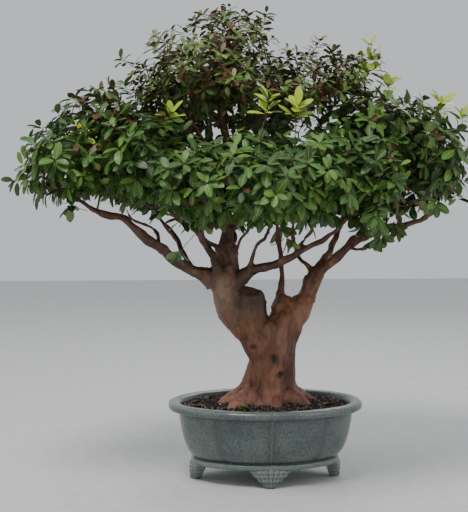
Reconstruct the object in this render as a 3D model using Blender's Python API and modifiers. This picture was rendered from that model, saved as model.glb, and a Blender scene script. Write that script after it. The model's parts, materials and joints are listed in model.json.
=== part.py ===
"""Bonsai tree in a lobed oval glazed pot.

Units are metres and +Z is up. The origin is under the middle of the whole tree, on the plane that the
pot's feet stand on. The tree's own design axes start at the middle of the pot, which ORIGIN_TO_POT places.
Limb points are (x, y, z, radius) and leafy spray blobs are (x, y, z, half width, half depth, half height),
all measured from the foot plane under the middle of the pot; -Y is the front of the tree.
"""

import math

import bmesh
import bpy
from mathutils import Quaternion, Vector

# ---- driving dimensions -------------------------------------------------------------------------
ORIGIN_TO_POT = (0.050, -0.006, 0.0)   # the pot stands right of the middle of the crown
GAP = 0.0004                       # air left between two pieces that touch

RIM_LENGTH = 0.447                 # rim, over all
RIM_DEPTH = 0.350
RIM_TOP = 0.1785
WALL_FOOT = 0.0400                 # underside of the pot's floor
FLOOR_TOP = 0.0525                 # upper face of the pot's floor
SOIL_EDGE = 0.1660                 # soil level at the wall
SOIL_MOUND = 0.0150                # how much higher the soil is at the trunk
SOIL_INSET = 0.0310                # from the rim's outer edge to the soil's edge
LOBE_STEPS = 6                     # points along each lobe of the pot
CREASES = (0.0, 38.0, 90.0, 142.0, 180.0, 218.0, 270.0, 322.0)  # degrees round the pot from the front

DRAIN_HOLE_RADIUS = 0.012
DRAIN_HOLE_X = 0.078
SCREEN_SIDE = 0.036
SCREEN_THICKNESS = 0.0015
SCREEN_CELL = 0.0080
SCREEN_CELLS = 3
SCREEN_BAR = 0.0016
CLIP_WIRE_RADIUS = 0.0008
CLIP_HALF_SPAN = SCREEN_CELL

WOOD_VOXEL = 0.0028
WOOD_TRIANGLES = 4200
WOOD_CLEARANCE = 0.0030            # added to every limb's radius where it is cut from its neighbours
CUTTER_VOXEL = 0.0035
CUTTER_TRIANGLES = 4000
SPRAY_VOXEL = 0.012
SPRAY_TRIANGLES = 220
SPRAY_CLEARANCE = 0.0020

# ---- pot profile: (inset from the rim's outer edge, height, depth of the creases as a share) ------
POT_OUTSIDE = (
    (0.0780, WALL_FOOT, 0.020),
    (0.0620, 0.0385, 0.022),
    (0.0545, 0.0400, 0.024),
    (0.0512, 0.0455, 0.024),
    (0.0530, 0.0515, 0.024),
    (0.0575, 0.0540, 0.030),
    (0.0500, 0.0600, 0.036),
    (0.0425, 0.0700, 0.040),
    (0.0360, 0.0830, 0.042),
    (0.0300, 0.1020, 0.042),
    (0.0255, 0.1240, 0.040),
    (0.0225, 0.1440, 0.036),
    (0.0228, 0.1580, 0.028),
    (0.0070, 0.1595, 0.018),
    (0.0010, 0.1630, 0.016),
    (0.0000, 0.1690, 0.016),
    (0.0030, 0.1755, 0.015),
    (0.0100, RIM_TOP, 0.014),
    (0.0200, 0.1780, 0.014),
    (0.0265, 0.1745, 0.014),
)
POT_INSIDE = (
    (0.0300, 0.1680, 0.015),
    (0.0340, 0.1500, 0.020),
    (0.0400, 0.1100, 0.025),
    (0.0480, 0.0800, 0.025),
    (0.0640, 0.0580, 0.020),
    (0.0860, FLOOR_TOP, 0.012),
)

# ---- one carved foot: (height, half width, reach of its face, reach of its back), scalloped -------
FOOT_LEVELS = (
    (0.0465, 0.0440, -0.0040, -0.0340),
    (0.0385, 0.0465, -0.0015, -0.0350),
    (0.0350, 0.0455, 0.0005, -0.0340),
    (0.0310, 0.0400, -0.0010, -0.0330),
    (0.0265, 0.0375, 0.0010, -0.0320),
    (0.0215, 0.0295, -0.0005, -0.0300),
    (0.0165, 0.0275, 0.0010, -0.0285),
    (0.0115, 0.0190, -0.0010, -0.0265),
    (0.0065, 0.0170, 0.0000, -0.0250),
    (0.0025, 0.0135, -0.0010, -0.0230),
    (0.0000, 0.0110, -0.0030, -0.0210),
)
FOOT_INSET = 0.0520                # how far inside the rim's edge a foot's face stands

# ---- wood: each limb's points are (x, y, z, radius) ------------------------------------------------
TRUNK = {
    "core": (
        (0.000, 0.000, 0.132, 0.048), (0.000, 0.000, 0.150, 0.066), (0.002, 0.000, 0.175, 0.067),
        (0.005, 0.000, 0.205, 0.054), (0.014, 0.000, 0.240, 0.044), (0.016, 0.000, 0.270, 0.041),
        (0.012, 0.000, 0.305, 0.041), (0.010, 0.004, 0.332, 0.033),
    ),
    "left_stem": (
        (-0.034, 0.008, 0.140, 0.030), (-0.034, 0.006, 0.160, 0.046), (-0.018, 0.000, 0.210, 0.037),
        (-0.004, -0.002, 0.265, 0.035), (-0.009, -0.004, 0.300, 0.041), (-0.026, -0.004, 0.338, 0.041),
        (-0.060, -0.002, 0.370, 0.041), (-0.083, 0.000, 0.412, 0.038), (-0.089, 0.000, 0.455, 0.033),
        (-0.089, 0.000, 0.490, 0.028), (-0.088, 0.000, 0.514, 0.022), (-0.088, 0.000, 0.534, 0.015),
    ),
    "right_stem": (
        (0.036, 0.000, 0.140, 0.030), (0.037, 0.000, 0.160, 0.048), (0.031, 0.002, 0.210, 0.040),
        (0.033, 0.004, 0.265, 0.038), (0.034, 0.002, 0.300, 0.037), (0.042, 0.000, 0.335, 0.041),
        (0.052, 0.000, 0.364, 0.041), (0.077, 0.000, 0.387, 0.030), (0.096, 0.000, 0.414, 0.019),
        (0.104, 0.000, 0.440, 0.021), (0.112, 0.000, 0.456, 0.020), (0.126, 0.000, 0.471, 0.013),
    ),
    "front_muscle": (
        (-0.002, -0.034, 0.145, 0.028), (-0.002, -0.038, 0.170, 0.040), (0.003, -0.030, 0.215, 0.031),
        (0.017, -0.022, 0.275, 0.031), (0.016, -0.022, 0.315, 0.033), (-0.014, -0.022, 0.345, 0.033),
    ),
    "rear_muscle": (
        (0.004, 0.036, 0.145, 0.028), (0.004, 0.042, 0.170, 0.040), (0.010, 0.032, 0.215, 0.033),
        (0.014, 0.024, 0.275, 0.033), (0.030, 0.024, 0.325, 0.033), (0.050, 0.020, 0.375, 0.028),
    ),
    "left_stub": (
        (-0.022, -0.010, 0.330, 0.037), (-0.033, -0.014, 0.370, 0.036), (-0.035, -0.014, 0.402, 0.034),
        (-0.034, -0.012, 0.421, 0.031), (-0.032, -0.010, 0.432, 0.024),
    ),
    "right_stub": (
        (0.046, 0.000, 0.382, 0.034), (0.033, -0.004, 0.396, 0.026), (0.024, -0.006, 0.403, 0.022),
    ),
}
ROOTS = {
    "root_left": (
        (-0.030, 0.000, 0.186, 0.034), (-0.064, -0.006, 0.180, 0.026), (-0.090, -0.014, 0.174, 0.017),
        (-0.114, -0.024, 0.164, 0.008),
    ),
    "root_left_front": (
        (-0.025, -0.020, 0.188, 0.030), (-0.056, -0.048, 0.182, 0.021), (-0.076, -0.066, 0.177, 0.014),
        (-0.092, -0.084, 0.166, 0.007),
    ),
    "root_strut": (
        (-0.036, -0.026, 0.236, 0.007), (-0.046, -0.044, 0.212, 0.006), (-0.053, -0.060, 0.190, 0.007),
        (-0.058, -0.072, 0.170, 0.006),
    ),
    "root_front": (
        (0.010, -0.036, 0.186, 0.028), (0.016, -0.064, 0.180, 0.020), (0.020, -0.086, 0.167, 0.009),
    ),
    "root_right_front": (
        (0.040, -0.025, 0.188, 0.028), (0.070, -0.044, 0.180, 0.021), (0.095, -0.058, 0.168, 0.010),
    ),
    "root_right": (
        (0.042, 0.000, 0.188, 0.032), (0.076, 0.000, 0.182, 0.023), (0.102, 0.003, 0.175, 0.014),
        (0.126, 0.007, 0.164, 0.007),
    ),
    "root_back_right": (
        (0.035, 0.030, 0.188, 0.030), (0.062, 0.056, 0.180, 0.020), (0.080, 0.080, 0.167, 0.009),
    ),
    "root_back_left": (
        (-0.025, 0.030, 0.188, 0.030), (-0.054, 0.056, 0.180, 0.020), (-0.072, 0.080, 0.167, 0.009),
    ),
}
LIMBS = {
    "leader": (
        (-0.088, 0.000, 0.520, 0.0190), (-0.087, 0.000, 0.545, 0.0135), (-0.090, 0.000, 0.590, 0.0130),
        (-0.097, -0.004, 0.650, 0.0122), (-0.092, 0.002, 0.720, 0.0112), (-0.096, 0.006, 0.820, 0.0092),
        (-0.088, 0.000, 0.930, 0.0068), (-0.076, 0.000, 1.010, 0.0045),
    ),
    "left_low": (
        (-0.090, -0.002, 0.436, 0.030), (-0.122, -0.006, 0.456, 0.0200), (-0.152, -0.010, 0.470, 0.0150),
        (-0.206, -0.026, 0.500, 0.0130), (-0.242, -0.040, 0.528, 0.0118), (-0.278, -0.052, 0.554, 0.0106),
        (-0.318, -0.066, 0.590, 0.0088), (-0.374, -0.080, 0.606, 0.0075), (-0.412, -0.092, 0.632, 0.0060),
        (-0.470, -0.116, 0.672, 0.0040),
    ),
    "left_upper": (
        (-0.120, 0.006, 0.440, 0.018), (-0.150, 0.012, 0.468, 0.0105), (-0.176, 0.028, 0.494, 0.0088),
        (-0.194, 0.046, 0.520, 0.0078), (-0.210, 0.062, 0.550, 0.0068), (-0.240, 0.080, 0.588, 0.0055),
        (-0.290, 0.070, 0.650, 0.0045),
    ),
    "left_side_twig": (
        (-0.245, -0.040, 0.530, 0.0060), (-0.250, -0.020, 0.560, 0.0045), (-0.262, -0.010, 0.580, 0.0042),
        (-0.300, -0.010, 0.598, 0.0036), (-0.330, 0.010, 0.640, 0.0030),
    ),
    "left_front": (
        (-0.105, -0.016, 0.460, 0.014), (-0.124, -0.060, 0.506, 0.0085), (-0.150, -0.110, 0.552, 0.0070),
        (-0.160, -0.170, 0.604, 0.0055), (-0.190, -0.220, 0.650, 0.0040),
    ),
    "front_dark": (
        (-0.078, -0.030, 0.440, 0.010), (-0.086, -0.034, 0.480, 0.0085), (-0.098, -0.034, 0.508, 0.0072),
        (-0.116, -0.042, 0.530, 0.0058), (-0.140, -0.056, 0.550, 0.0046), (-0.200, -0.080, 0.596, 0.0040),
        (-0.230, -0.090, 0.640, 0.0034),
    ),
    "middle": (
        (-0.084, -0.014, 0.428, 0.022), (-0.064, -0.024, 0.452, 0.0170), (-0.046, -0.032, 0.468, 0.0145),
        (-0.024, -0.044, 0.479, 0.0108), (0.016, -0.064, 0.492, 0.0092), (0.054, -0.084, 0.511, 0.0084),
        (0.090, -0.104, 0.532, 0.0074), (0.124, -0.122, 0.560, 0.0062), (0.160, -0.140, 0.600, 0.0050),
        (0.180, -0.160, 0.650, 0.0036),
    ),
    "winding_shoot": (
        (-0.046, -0.034, 0.468, 0.0085), (-0.036, -0.042, 0.496, 0.0060), (-0.030, -0.050, 0.520, 0.0056),
        (-0.012, -0.060, 0.540, 0.0052), (0.004, -0.080, 0.562, 0.0046), (0.000, -0.130, 0.610, 0.0042),
        (-0.010, -0.180, 0.660, 0.0034),
    ),
    "knob_shoot": (
        (0.034, 0.002, 0.404, 0.014), (0.036, 0.008, 0.428, 0.0082), (0.040, 0.018, 0.460, 0.0068),
        (0.038, 0.024, 0.500, 0.0062), (0.030, 0.030, 0.540, 0.0056), (0.036, 0.034, 0.620, 0.0046),
        (0.050, 0.020, 0.700, 0.0038), (0.080, 0.010, 0.780, 0.0032), (0.100, 0.010, 0.840, 0.0028),
    ),
    "right": (
        (0.110, 0.000, 0.458, 0.019), (0.128, 0.000, 0.478, 0.0135), (0.164, 0.004, 0.505, 0.0115),
        (0.204, 0.006, 0.532, 0.0102), (0.244, 0.010, 0.556, 0.0088), (0.277, 0.012, 0.571, 0.0075),
        (0.317, 0.012, 0.570, 0.0065), (0.358, 0.016, 0.580, 0.0055), (0.398, 0.018, 0.620, 0.0045),
        (0.415, 0.020, 0.680, 0.0036),
    ),
    "right_side_twig": (
        (0.190, 0.002, 0.522, 0.0058), (0.216, -0.018, 0.520, 0.0042), (0.240, -0.034, 0.538, 0.0038),
        (0.262, -0.070, 0.590, 0.0034), (0.280, -0.100, 0.650, 0.0030),
    ),
    "right_upper": (
        (0.240, 0.008, 0.554, 0.0078), (0.250, 0.000, 0.590, 0.0058), (0.262, -0.010, 0.640, 0.0052),
        (0.250, -0.020, 0.700, 0.0044), (0.240, -0.020, 0.780, 0.0034),
    ),
    "right_inner": (
        (0.110, 0.004, 0.466, 0.010), (0.098, 0.014, 0.486, 0.0062), (0.082, 0.028, 0.500, 0.0056),
        (0.074, 0.060, 0.540, 0.0050), (0.070, 0.120, 0.590, 0.0046), (0.060, 0.190, 0.640, 0.0040),
    ),
    "right_back": (
        (0.122, 0.006, 0.476, 0.0125), (0.150, 0.048, 0.516, 0.0080), (0.184, 0.100, 0.556, 0.0068),
        (0.214, 0.160, 0.596, 0.0056), (0.250, 0.220, 0.650, 0.0042),
    ),
    "left_back": (
        (-0.098, 0.012, 0.470, 0.014), (-0.124, 0.056, 0.520, 0.0085), (-0.166, 0.110, 0.566, 0.0070),
        (-0.214, 0.160, 0.606, 0.0056), (-0.260, 0.210, 0.660, 0.0042),
    ),
    "centre_back": (
        (-0.088, 0.004, 0.520, 0.0135), (-0.070, 0.046, 0.560, 0.0072), (-0.050, 0.110, 0.600, 0.0060),
        (-0.040, 0.180, 0.650, 0.0046),
    ),
    "leader_twig": (
        (-0.078, -0.010, 0.500, 0.0080), (-0.066, -0.026, 0.526, 0.0052), (-0.056, -0.040, 0.556, 0.0046),
        (-0.040, -0.070, 0.600, 0.0040), (-0.060, -0.110, 0.650, 0.0034),
    ),
    "middle_fork": (
        (0.050, -0.082, 0.508, 0.0070), (0.066, -0.092, 0.534, 0.0050), (0.086, -0.104, 0.560, 0.0044),
        (0.100, -0.140, 0.610, 0.0040), (0.110, -0.180, 0.660, 0.0034),
    ),
    "crown_left": (
        (-0.094, -0.002, 0.700, 0.0095), (-0.124, -0.010, 0.748, 0.0060), (-0.160, -0.010, 0.800, 0.0052),
        (-0.190, -0.004, 0.850, 0.0044), (-0.220, 0.000, 0.900, 0.0034),
    ),
    "crown_right": (
        (-0.096, 0.000, 0.740, 0.0090), (-0.060, -0.010, 0.780, 0.0062), (-0.010, -0.014, 0.818, 0.0055),
        (0.050, -0.010, 0.850, 0.0048), (0.110, -0.006, 0.880, 0.0040), (0.160, 0.000, 0.912, 0.0030),
    ),
    "crown_back": (
        (-0.096, 0.006, 0.780, 0.0085), (-0.090, 0.050, 0.812, 0.0058), (-0.080, 0.100, 0.850, 0.0046),
        (-0.080, 0.130, 0.900, 0.0034),
    ),
    "upper_left": (
        (-0.095, -0.004, 0.620, 0.0105), (-0.140, -0.010, 0.660, 0.0068), (-0.200, -0.020, 0.710, 0.0058),
        (-0.260, -0.030, 0.760, 0.0046), (-0.310, -0.040, 0.800, 0.0034),
    ),
}

# ---- leafy sprays: blobs are (x, y, z, half width, half depth, half height) -------------------------
SPRAYS = {
    "foliage_far_left": (
        (-0.500, -0.060, 0.690, 0.068, 0.090, 0.062), (-0.450, -0.110, 0.715, 0.085, 0.100, 0.085),
        (-0.430, 0.000, 0.730, 0.090, 0.110, 0.095), (-0.405, -0.050, 0.790, 0.075, 0.090, 0.070),
    ),
    "foliage_left": (
        (-0.300, -0.100, 0.735, 0.095, 0.130, 0.105), (-0.270, 0.030, 0.750, 0.100, 0.110, 0.105),
        (-0.215, -0.050, 0.700, 0.090, 0.110, 0.095), (-0.340, -0.020, 0.790, 0.080, 0.100, 0.080),
    ),
    "foliage_front": (
        (-0.150, -0.210, 0.670, 0.115, 0.120, 0.085), (-0.020, -0.270, 0.670, 0.120, 0.120, 0.085),
        (0.090, -0.210, 0.680, 0.110, 0.115, 0.090), (-0.020, -0.150, 0.705, 0.125, 0.095, 0.085),
    ),
    "foliage_right": (
        (0.215, -0.130, 0.690, 0.090, 0.150, 0.095), (0.255, -0.020, 0.720, 0.110, 0.120, 0.110),
        (0.230, -0.060, 0.800, 0.090, 0.110, 0.085), (0.160, -0.060, 0.760, 0.070, 0.090, 0.070),
    ),
    "foliage_far_right": (
        (0.370, -0.060, 0.715, 0.075, 0.120, 0.095), (0.395, 0.040, 0.730, 0.070, 0.110, 0.090),
        (0.350, 0.000, 0.790, 0.070, 0.100, 0.075),
    ),
    "foliage_crown": (
        (-0.170, -0.030, 0.930, 0.110, 0.120, 0.095), (-0.080, -0.010, 0.985, 0.100, 0.110, 0.090),
        (-0.230, 0.010, 0.890, 0.080, 0.100, 0.080), (-0.060, -0.060, 0.900, 0.100, 0.100, 0.085),
    ),
    "foliage_crown_right": (
        (0.100, -0.020, 0.880, 0.095, 0.120, 0.085), (0.170, 0.000, 0.905, 0.080, 0.100, 0.070),
        (0.050, 0.030, 0.900, 0.080, 0.100, 0.080),
    ),
    "foliage_crown_back": (
        (-0.100, 0.150, 0.900, 0.120, 0.110, 0.095), (0.010, 0.160, 0.850, 0.110, 0.110, 0.085),
        (-0.180, 0.150, 0.840, 0.090, 0.100, 0.080),
    ),
    "foliage_back_left": (
        (-0.300, 0.200, 0.700, 0.130, 0.130, 0.095), (-0.200, 0.270, 0.690, 0.110, 0.110, 0.085),
        (-0.360, 0.140, 0.740, 0.090, 0.090, 0.075),
    ),
    "foliage_back": (
        (-0.040, 0.230, 0.700, 0.110, 0.140, 0.085), (0.050, 0.280, 0.700, 0.110, 0.120, 0.085),
        (0.000, 0.170, 0.720, 0.090, 0.080, 0.070),
    ),
    "foliage_back_right": (
        (0.260, 0.210, 0.700, 0.130, 0.130, 0.095), (0.340, 0.160, 0.730, 0.090, 0.100, 0.080),
        (0.200, 0.270, 0.690, 0.100, 0.110, 0.080),
    ),
}

# ---- small things on the soil ----------------------------------------------------------------------
FALLEN_LEAVES = (  # (x, y, turn in degrees, length)
    (-0.158, 0.004, 20.0, 0.036),
    (-0.150, -0.046, 115.0, 0.034),
    (-0.128, 0.048, 70.0, 0.032),
    (0.132, -0.052, 150.0, 0.034),
)
LEAF_THICKNESS = 0.0006
LEAF_LIFT = 0.0016                 # a leaf's middle over the soil
WEED_AT = (-0.058, -0.106)
WEED_STEM = 0.014
WEED_LEAVES = 5


# ---- helpers -------------------------------------------------------------------------------------
def collection(name):
    group = bpy.data.collections.new(name)
    bpy.context.scene.collection.children.link(group)
    return group


def finish(name, color, roughness, metallic=0.0):
    material = bpy.data.materials.new(name)
    material.use_nodes = True
    shader = material.node_tree.nodes["Principled BSDF"]
    shader.inputs["Base Color"].default_value = (*color, 1.0)
    shader.inputs["Roughness"].default_value = roughness
    shader.inputs["Metallic"].default_value = metallic
    return material


def add_mesh(name, mesh, group, material=None):
    obj = bpy.data.objects.new(name, mesh)
    group.objects.link(obj)
    if material:
        mesh.materials.clear()
        mesh.materials.append(material)
    return obj


def mesh_from_bmesh(name, bm):
    mesh = bpy.data.meshes.new(name)
    bmesh.ops.recalc_face_normals(bm, faces=bm.faces)
    bm.to_mesh(mesh)
    bm.free()
    return mesh


def evaluated_mesh(obj):
    """The object's mesh with its modifiers applied, welded where vertices meet."""
    bpy.context.view_layer.update()
    depsgraph = bpy.context.evaluated_depsgraph_get()
    mesh = bpy.data.meshes.new_from_object(obj.evaluated_get(depsgraph))
    bm = bmesh.new()
    bm.from_mesh(mesh)
    bmesh.ops.remove_doubles(bm, verts=bm.verts, dist=0.00001)
    bmesh.ops.recalc_face_normals(bm, faces=bm.faces)
    bm.to_mesh(mesh)
    bm.free()
    return mesh


def apply_modifiers(obj):
    mesh = evaluated_mesh(obj)
    obj.modifiers.clear()
    obj.data = mesh
    return obj


def make_cutter(obj):
    obj.hide_render = True
    obj.display_type = "WIRE"
    return obj


def boolean(obj, other, operation):
    modifier = obj.modifiers.new(operation.lower(), "BOOLEAN")
    modifier.operation = operation
    modifier.solver = "EXACT"
    modifier.use_self = True
    modifier.object = other
    return modifier


def drop(obj):
    bpy.data.objects.remove(obj, do_unlink=True)


def smooth_shading(obj, angle):
    obj.data.shade_smooth()
    obj.data.set_sharp_from_angle(angle=math.radians(angle))


def smooth_path(points, spacing):
    """Points a spacing apart on the Catmull-Rom curve through the given points; radii are carried along."""
    ends = [points[0], *points, points[-1]]
    path = []
    for a, b, c, d in zip(ends, ends[1:], ends[2:], ends[3:]):
        length = math.dist(b[:3], c[:3])
        steps = max(2, round(length / spacing))
        for step in range(steps):
            t = step / steps
            path.append(tuple(
                0.5 * (2 * q + (r - p) * t + (2 * p - 5 * q + 4 * r - s) * t * t
                       + (3 * q - p - 3 * r + s) * t ** 3)
                for p, q, r, s in zip(a, b, c, d)
            ))
    path.append(points[-1])
    return path


def tube(name, points, group, sides=2):
    """A tapered tube with filled ends, as a mesh object. Points are (x, y, z, radius)."""
    curve = bpy.data.curves.new(name, "CURVE")
    curve.dimensions = "3D"
    curve.bevel_depth = 1.0
    curve.bevel_resolution = sides
    curve.use_fill_caps = True
    spline = curve.splines.new("POLY")
    spline.points.add(len(points) - 1)
    for spot, (x, y, z, radius) in zip(spline.points, points):
        spot.co = (x, y, z, 1.0)
        spot.radius = radius
    guide = bpy.data.objects.new(name + "_path", curve)
    group.objects.link(guide)
    obj = add_mesh(name, evaluated_mesh(guide), group)
    drop(guide)
    return obj


def joined(name, objects, group):
    """One object holding the meshes of all the given objects, which are removed."""
    bm = bmesh.new()
    for obj in objects:
        bm.from_mesh(obj.data)
        drop(obj)
    mesh = bpy.data.meshes.new(name)
    bm.to_mesh(mesh)
    bm.free()
    return add_mesh(name, mesh, group)


def fuse(obj, voxel, triangles, smoothing):
    """Melts overlapping closed shapes into one body, smooths it and brings it down to some triangles."""
    remesh = obj.modifiers.new("fuse", "REMESH")
    remesh.mode = "VOXEL"
    remesh.voxel_size = voxel
    if smoothing:
        smooth = obj.modifiers.new("smooth", "SMOOTH")
        smooth.factor = 0.5
        smooth.iterations = smoothing
    apply_modifiers(obj)
    count = sum(len(face.vertices) - 2 for face in obj.data.polygons)
    decimate = obj.modifiers.new("reduce", "DECIMATE")
    decimate.ratio = min(1.0, triangles / count)
    decimate.use_collapse_triangulate = True
    return apply_modifiers(obj)


def grown(source, name, distance, group):
    """A copy of a closed object, pushed out along its normals, to cut its neighbours with."""
    obj = add_mesh(name, source.data.copy(), group)
    push = obj.modifiers.new("grow", "DISPLACE")
    push.strength = distance
    push.mid_level = 0.0
    return make_cutter(apply_modifiers(obj))


def keep_largest_body(obj):
    """Drops slivers that a cut leaves loose."""
    bm = bmesh.new()
    bm.from_mesh(obj.data)
    left = set(bm.verts)
    bodies = []
    while left:
        stack = [left.pop()]
        body = set(stack)
        while stack:
            for edge in stack.pop().link_edges:
                for vert in edge.verts:
                    if vert in left:
                        left.remove(vert)
                        body.add(vert)
                        stack.append(vert)
        bodies.append(body)
    bodies.sort(key=len, reverse=True)
    loose = [vert for body in bodies[1:] for vert in body]
    bmesh.ops.delete(bm, geom=loose, context="VERTS")
    bm.to_mesh(obj.data)
    bm.free()


# ---- pot -----------------------------------------------------------------------------------------
def lobed_ring(half_length, half_depth, crease_depth):
    """One level of the pot: an oval pinched inwards at each crease and full between them."""
    ring = []
    for start, end in zip(CREASES, CREASES[1:] + (360.0,)):
        for step in range(LOBE_STEPS):
            share = step / LOBE_STEPS
            angle = math.radians(start + (end - start) * share)
            swell = 1.0 - crease_depth * (1.0 - math.sin(math.pi * share) ** 0.75)
            ring.append((half_length * swell * math.sin(angle), -half_depth * swell * math.cos(angle)))
    return ring


def pot_ring(bm, inset, height, crease_depth):
    outline = lobed_ring(RIM_LENGTH / 2 - inset, RIM_DEPTH / 2 - inset, crease_depth)
    return [bm.verts.new((x, y, height)) for x, y in outline]


def loft(bm, rings):
    """Skins a list of rings with equal vertex counts and closes both ends."""
    for lower, upper in zip(rings, rings[1:]):
        for i in range(len(lower)):
            j = (i + 1) % len(lower)
            bm.faces.new((lower[i], lower[j], upper[j], upper[i]))
    bm.faces.new(rings[0])
    bm.faces.new(rings[-1])


def pot_body(group):
    bm = bmesh.new()
    loft(bm, [pot_ring(bm, *level) for level in POT_OUTSIDE + POT_INSIDE])
    return add_mesh("pot", mesh_from_bmesh("pot", bm), group)


def foot(direction, reach, group):
    """One bracket foot. Its face looks along direction (degrees from +X) and stands at reach."""
    bm = bmesh.new()
    rings = []
    for height, half_width, face, back in FOOT_LEVELS:
        plan = (
            (-0.90, back), (-1.00, face - 0.012), (-0.75, face - 0.005), (-0.42, face - 0.0035),
            (-0.20, face - 0.003), (0.0, face + 0.002), (0.20, face - 0.003), (0.42, face - 0.0035),
            (0.75, face - 0.005), (1.00, face - 0.012), (0.90, back),
        )
        rings.append([bm.verts.new((reach + v, -u * half_width, height)) for u, v in plan])
    loft(bm, rings)
    obj = add_mesh("foot", mesh_from_bmesh("foot", bm), group)
    obj.rotation_euler.z = math.radians(direction)
    return make_cutter(obj)


def make_pot(group, cutters):
    pot = pot_body(group)
    pot.data.materials.append(finish("celadon_glaze", (0.28, 0.33, 0.31), 0.35))
    end_reach = RIM_LENGTH / 2 - FOOT_INSET
    side_reach = RIM_DEPTH / 2 - FOOT_INSET
    for direction, reach in ((0, end_reach), (90, side_reach), (180, end_reach), (270, side_reach)):
        boolean(pot, foot(direction, reach, cutters), "UNION")
    for x in (-DRAIN_HOLE_X, DRAIN_HOLE_X):
        bm = bmesh.new()
        bmesh.ops.create_cone(
            bm, cap_ends=True, segments=24, radius1=DRAIN_HOLE_RADIUS, radius2=DRAIN_HOLE_RADIUS, depth=0.05
        )
        hole = add_mesh("drain_hole", mesh_from_bmesh("drain_hole", bm), cutters)
        hole.location = (x, 0.0, (WALL_FOOT + FLOOR_TOP) / 2)
        boolean(pot, make_cutter(hole), "DIFFERENCE")
    apply_modifiers(pot)
    smooth_shading(pot, 40)
    return pot


# ---- drainage ------------------------------------------------------------------------------------
def screen_base():
    return FLOOR_TOP + GAP


def make_screen(name, x, group, cutters):
    """A plastic mesh square over a drain hole: a thin plate with a grid of square openings."""
    middle = screen_base() + SCREEN_THICKNESS / 2
    bpy.ops.mesh.primitive_cube_add(size=1.0, location=(x, 0.0, middle))
    screen = bpy.context.active_object
    screen.name = name
    screen.scale = (SCREEN_SIDE, SCREEN_SIDE, SCREEN_THICKNESS)
    move_to(screen, group)
    bm = bmesh.new()
    opening = SCREEN_CELL - SCREEN_BAR
    middle_cell = (SCREEN_CELLS - 1) / 2
    for column in range(SCREEN_CELLS):
        for row in range(SCREEN_CELLS):
            cube = bmesh.ops.create_cube(bm, size=1.0)["verts"]
            bmesh.ops.scale(bm, verts=cube, vec=(opening, opening, 0.01))
            shift = ((column - middle_cell) * SCREEN_CELL, (row - middle_cell) * SCREEN_CELL, 0.0)
            bmesh.ops.translate(bm, verts=cube, vec=shift)
    openings = add_mesh("screen_openings", mesh_from_bmesh("screen_openings", bm), cutters)
    openings.location = (x, 0.0, middle)
    boolean(screen, make_cutter(openings), "DIFFERENCE")
    screen.data.materials.append(finish("black_plastic_mesh", (0.02, 0.02, 0.02), 0.6))
    return screen


def make_clip(name, x, group):
    """A staple of wire: across the screen, down through the drain hole and out under the pot."""
    top = screen_base() + SCREEN_THICKNESS + GAP + CLIP_WIRE_RADIUS
    under = WALL_FOOT - GAP - CLIP_WIRE_RADIUS
    half = CLIP_HALF_SPAN
    reach = DRAIN_HOLE_RADIUS + 0.010
    bend = 0.0015
    side = (
        (0.0, top), (half - bend, top), (half, top - bend), (half, under + 2 * bend),
        (half + bend, under + 0.4 * bend), (half + 2 * bend, under), (reach, under),
    )
    right = [(x + along, 0.0, z, CLIP_WIRE_RADIUS) for along, z in side]
    left = [(x - along, 0.0, z, CLIP_WIRE_RADIUS) for along, z in side[:0:-1]]
    clip = tube(name, left + right, group)
    clip.data.materials.append(finish("aluminium_wire", (0.45, 0.43, 0.40), 0.4, 1.0))
    smooth_shading(clip, 50)
    return clip


def move_to(obj, group):
    for old in obj.users_collection:
        old.objects.unlink(obj)
    group.objects.link(obj)


# ---- soil ----------------------------------------------------------------------------------------
def soil_height(share):
    """Soil level at a share of the way from the middle (0) to the wall (1)."""
    return SOIL_EDGE + SOIL_MOUND * (1.0 - share * share)


def soil_surface(x, y):
    """Soil level at a place, and the direction that points straight out of the soil there."""
    half_length = RIM_LENGTH / 2 - SOIL_INSET
    half_depth = RIM_DEPTH / 2 - SOIL_INSET
    share = math.hypot(x / half_length, y / half_depth)
    slope = 2.0 * SOIL_MOUND
    return soil_height(share), Vector((slope * x / half_length ** 2, slope * y / half_depth ** 2, 1.0))


def make_soil(group, cutters, wood_cutter):
    """The potting mix, against the pot's inside, mounded round the trunk and hollowed over the screens."""
    side_gap = 2 * GAP
    levels = [(inset + side_gap, height + side_gap, crease) for inset, height, crease in POT_INSIDE[::-1]]
    lip, wall = POT_INSIDE[0], POT_INSIDE[1]
    share = (SOIL_EDGE - wall[1]) / (lip[1] - wall[1])
    levels[-1] = (wall[0] + (lip[0] - wall[0]) * share + side_gap, SOIL_EDGE, lip[2])
    bm = bmesh.new()
    rings = [pot_ring(bm, *level) for level in levels]
    edge = [vert.co.copy() for vert in rings[-1]]
    for share in (0.86, 0.68, 0.50, 0.30):
        rings.append([bm.verts.new((co.x * share, co.y * share, soil_height(share))) for co in edge])
    loft(bm, rings)
    soil = add_mesh("soil", mesh_from_bmesh("soil", bm), group)
    soil.data.materials.append(finish("potting_mix", (0.07, 0.05, 0.04), 0.9))
    for x in (-DRAIN_HOLE_X, DRAIN_HOLE_X):
        pocket = bpy.data.objects.new("screen_pocket", unit_cube("screen_pocket"))
        cutters.objects.link(pocket)
        pocket.location = (x, 0.0, screen_base())
        pocket.scale = (SCREEN_SIDE + 4 * GAP, SCREEN_SIDE + 4 * GAP, 0.0080)
        boolean(soil, make_cutter(pocket), "DIFFERENCE")
    boolean(soil, wood_cutter, "DIFFERENCE")
    apply_modifiers(soil)
    keep_largest_body(soil)
    return soil


def unit_cube(name):
    bm = bmesh.new()
    bmesh.ops.create_cube(bm, size=1.0)
    return mesh_from_bmesh(name, bm)


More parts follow.
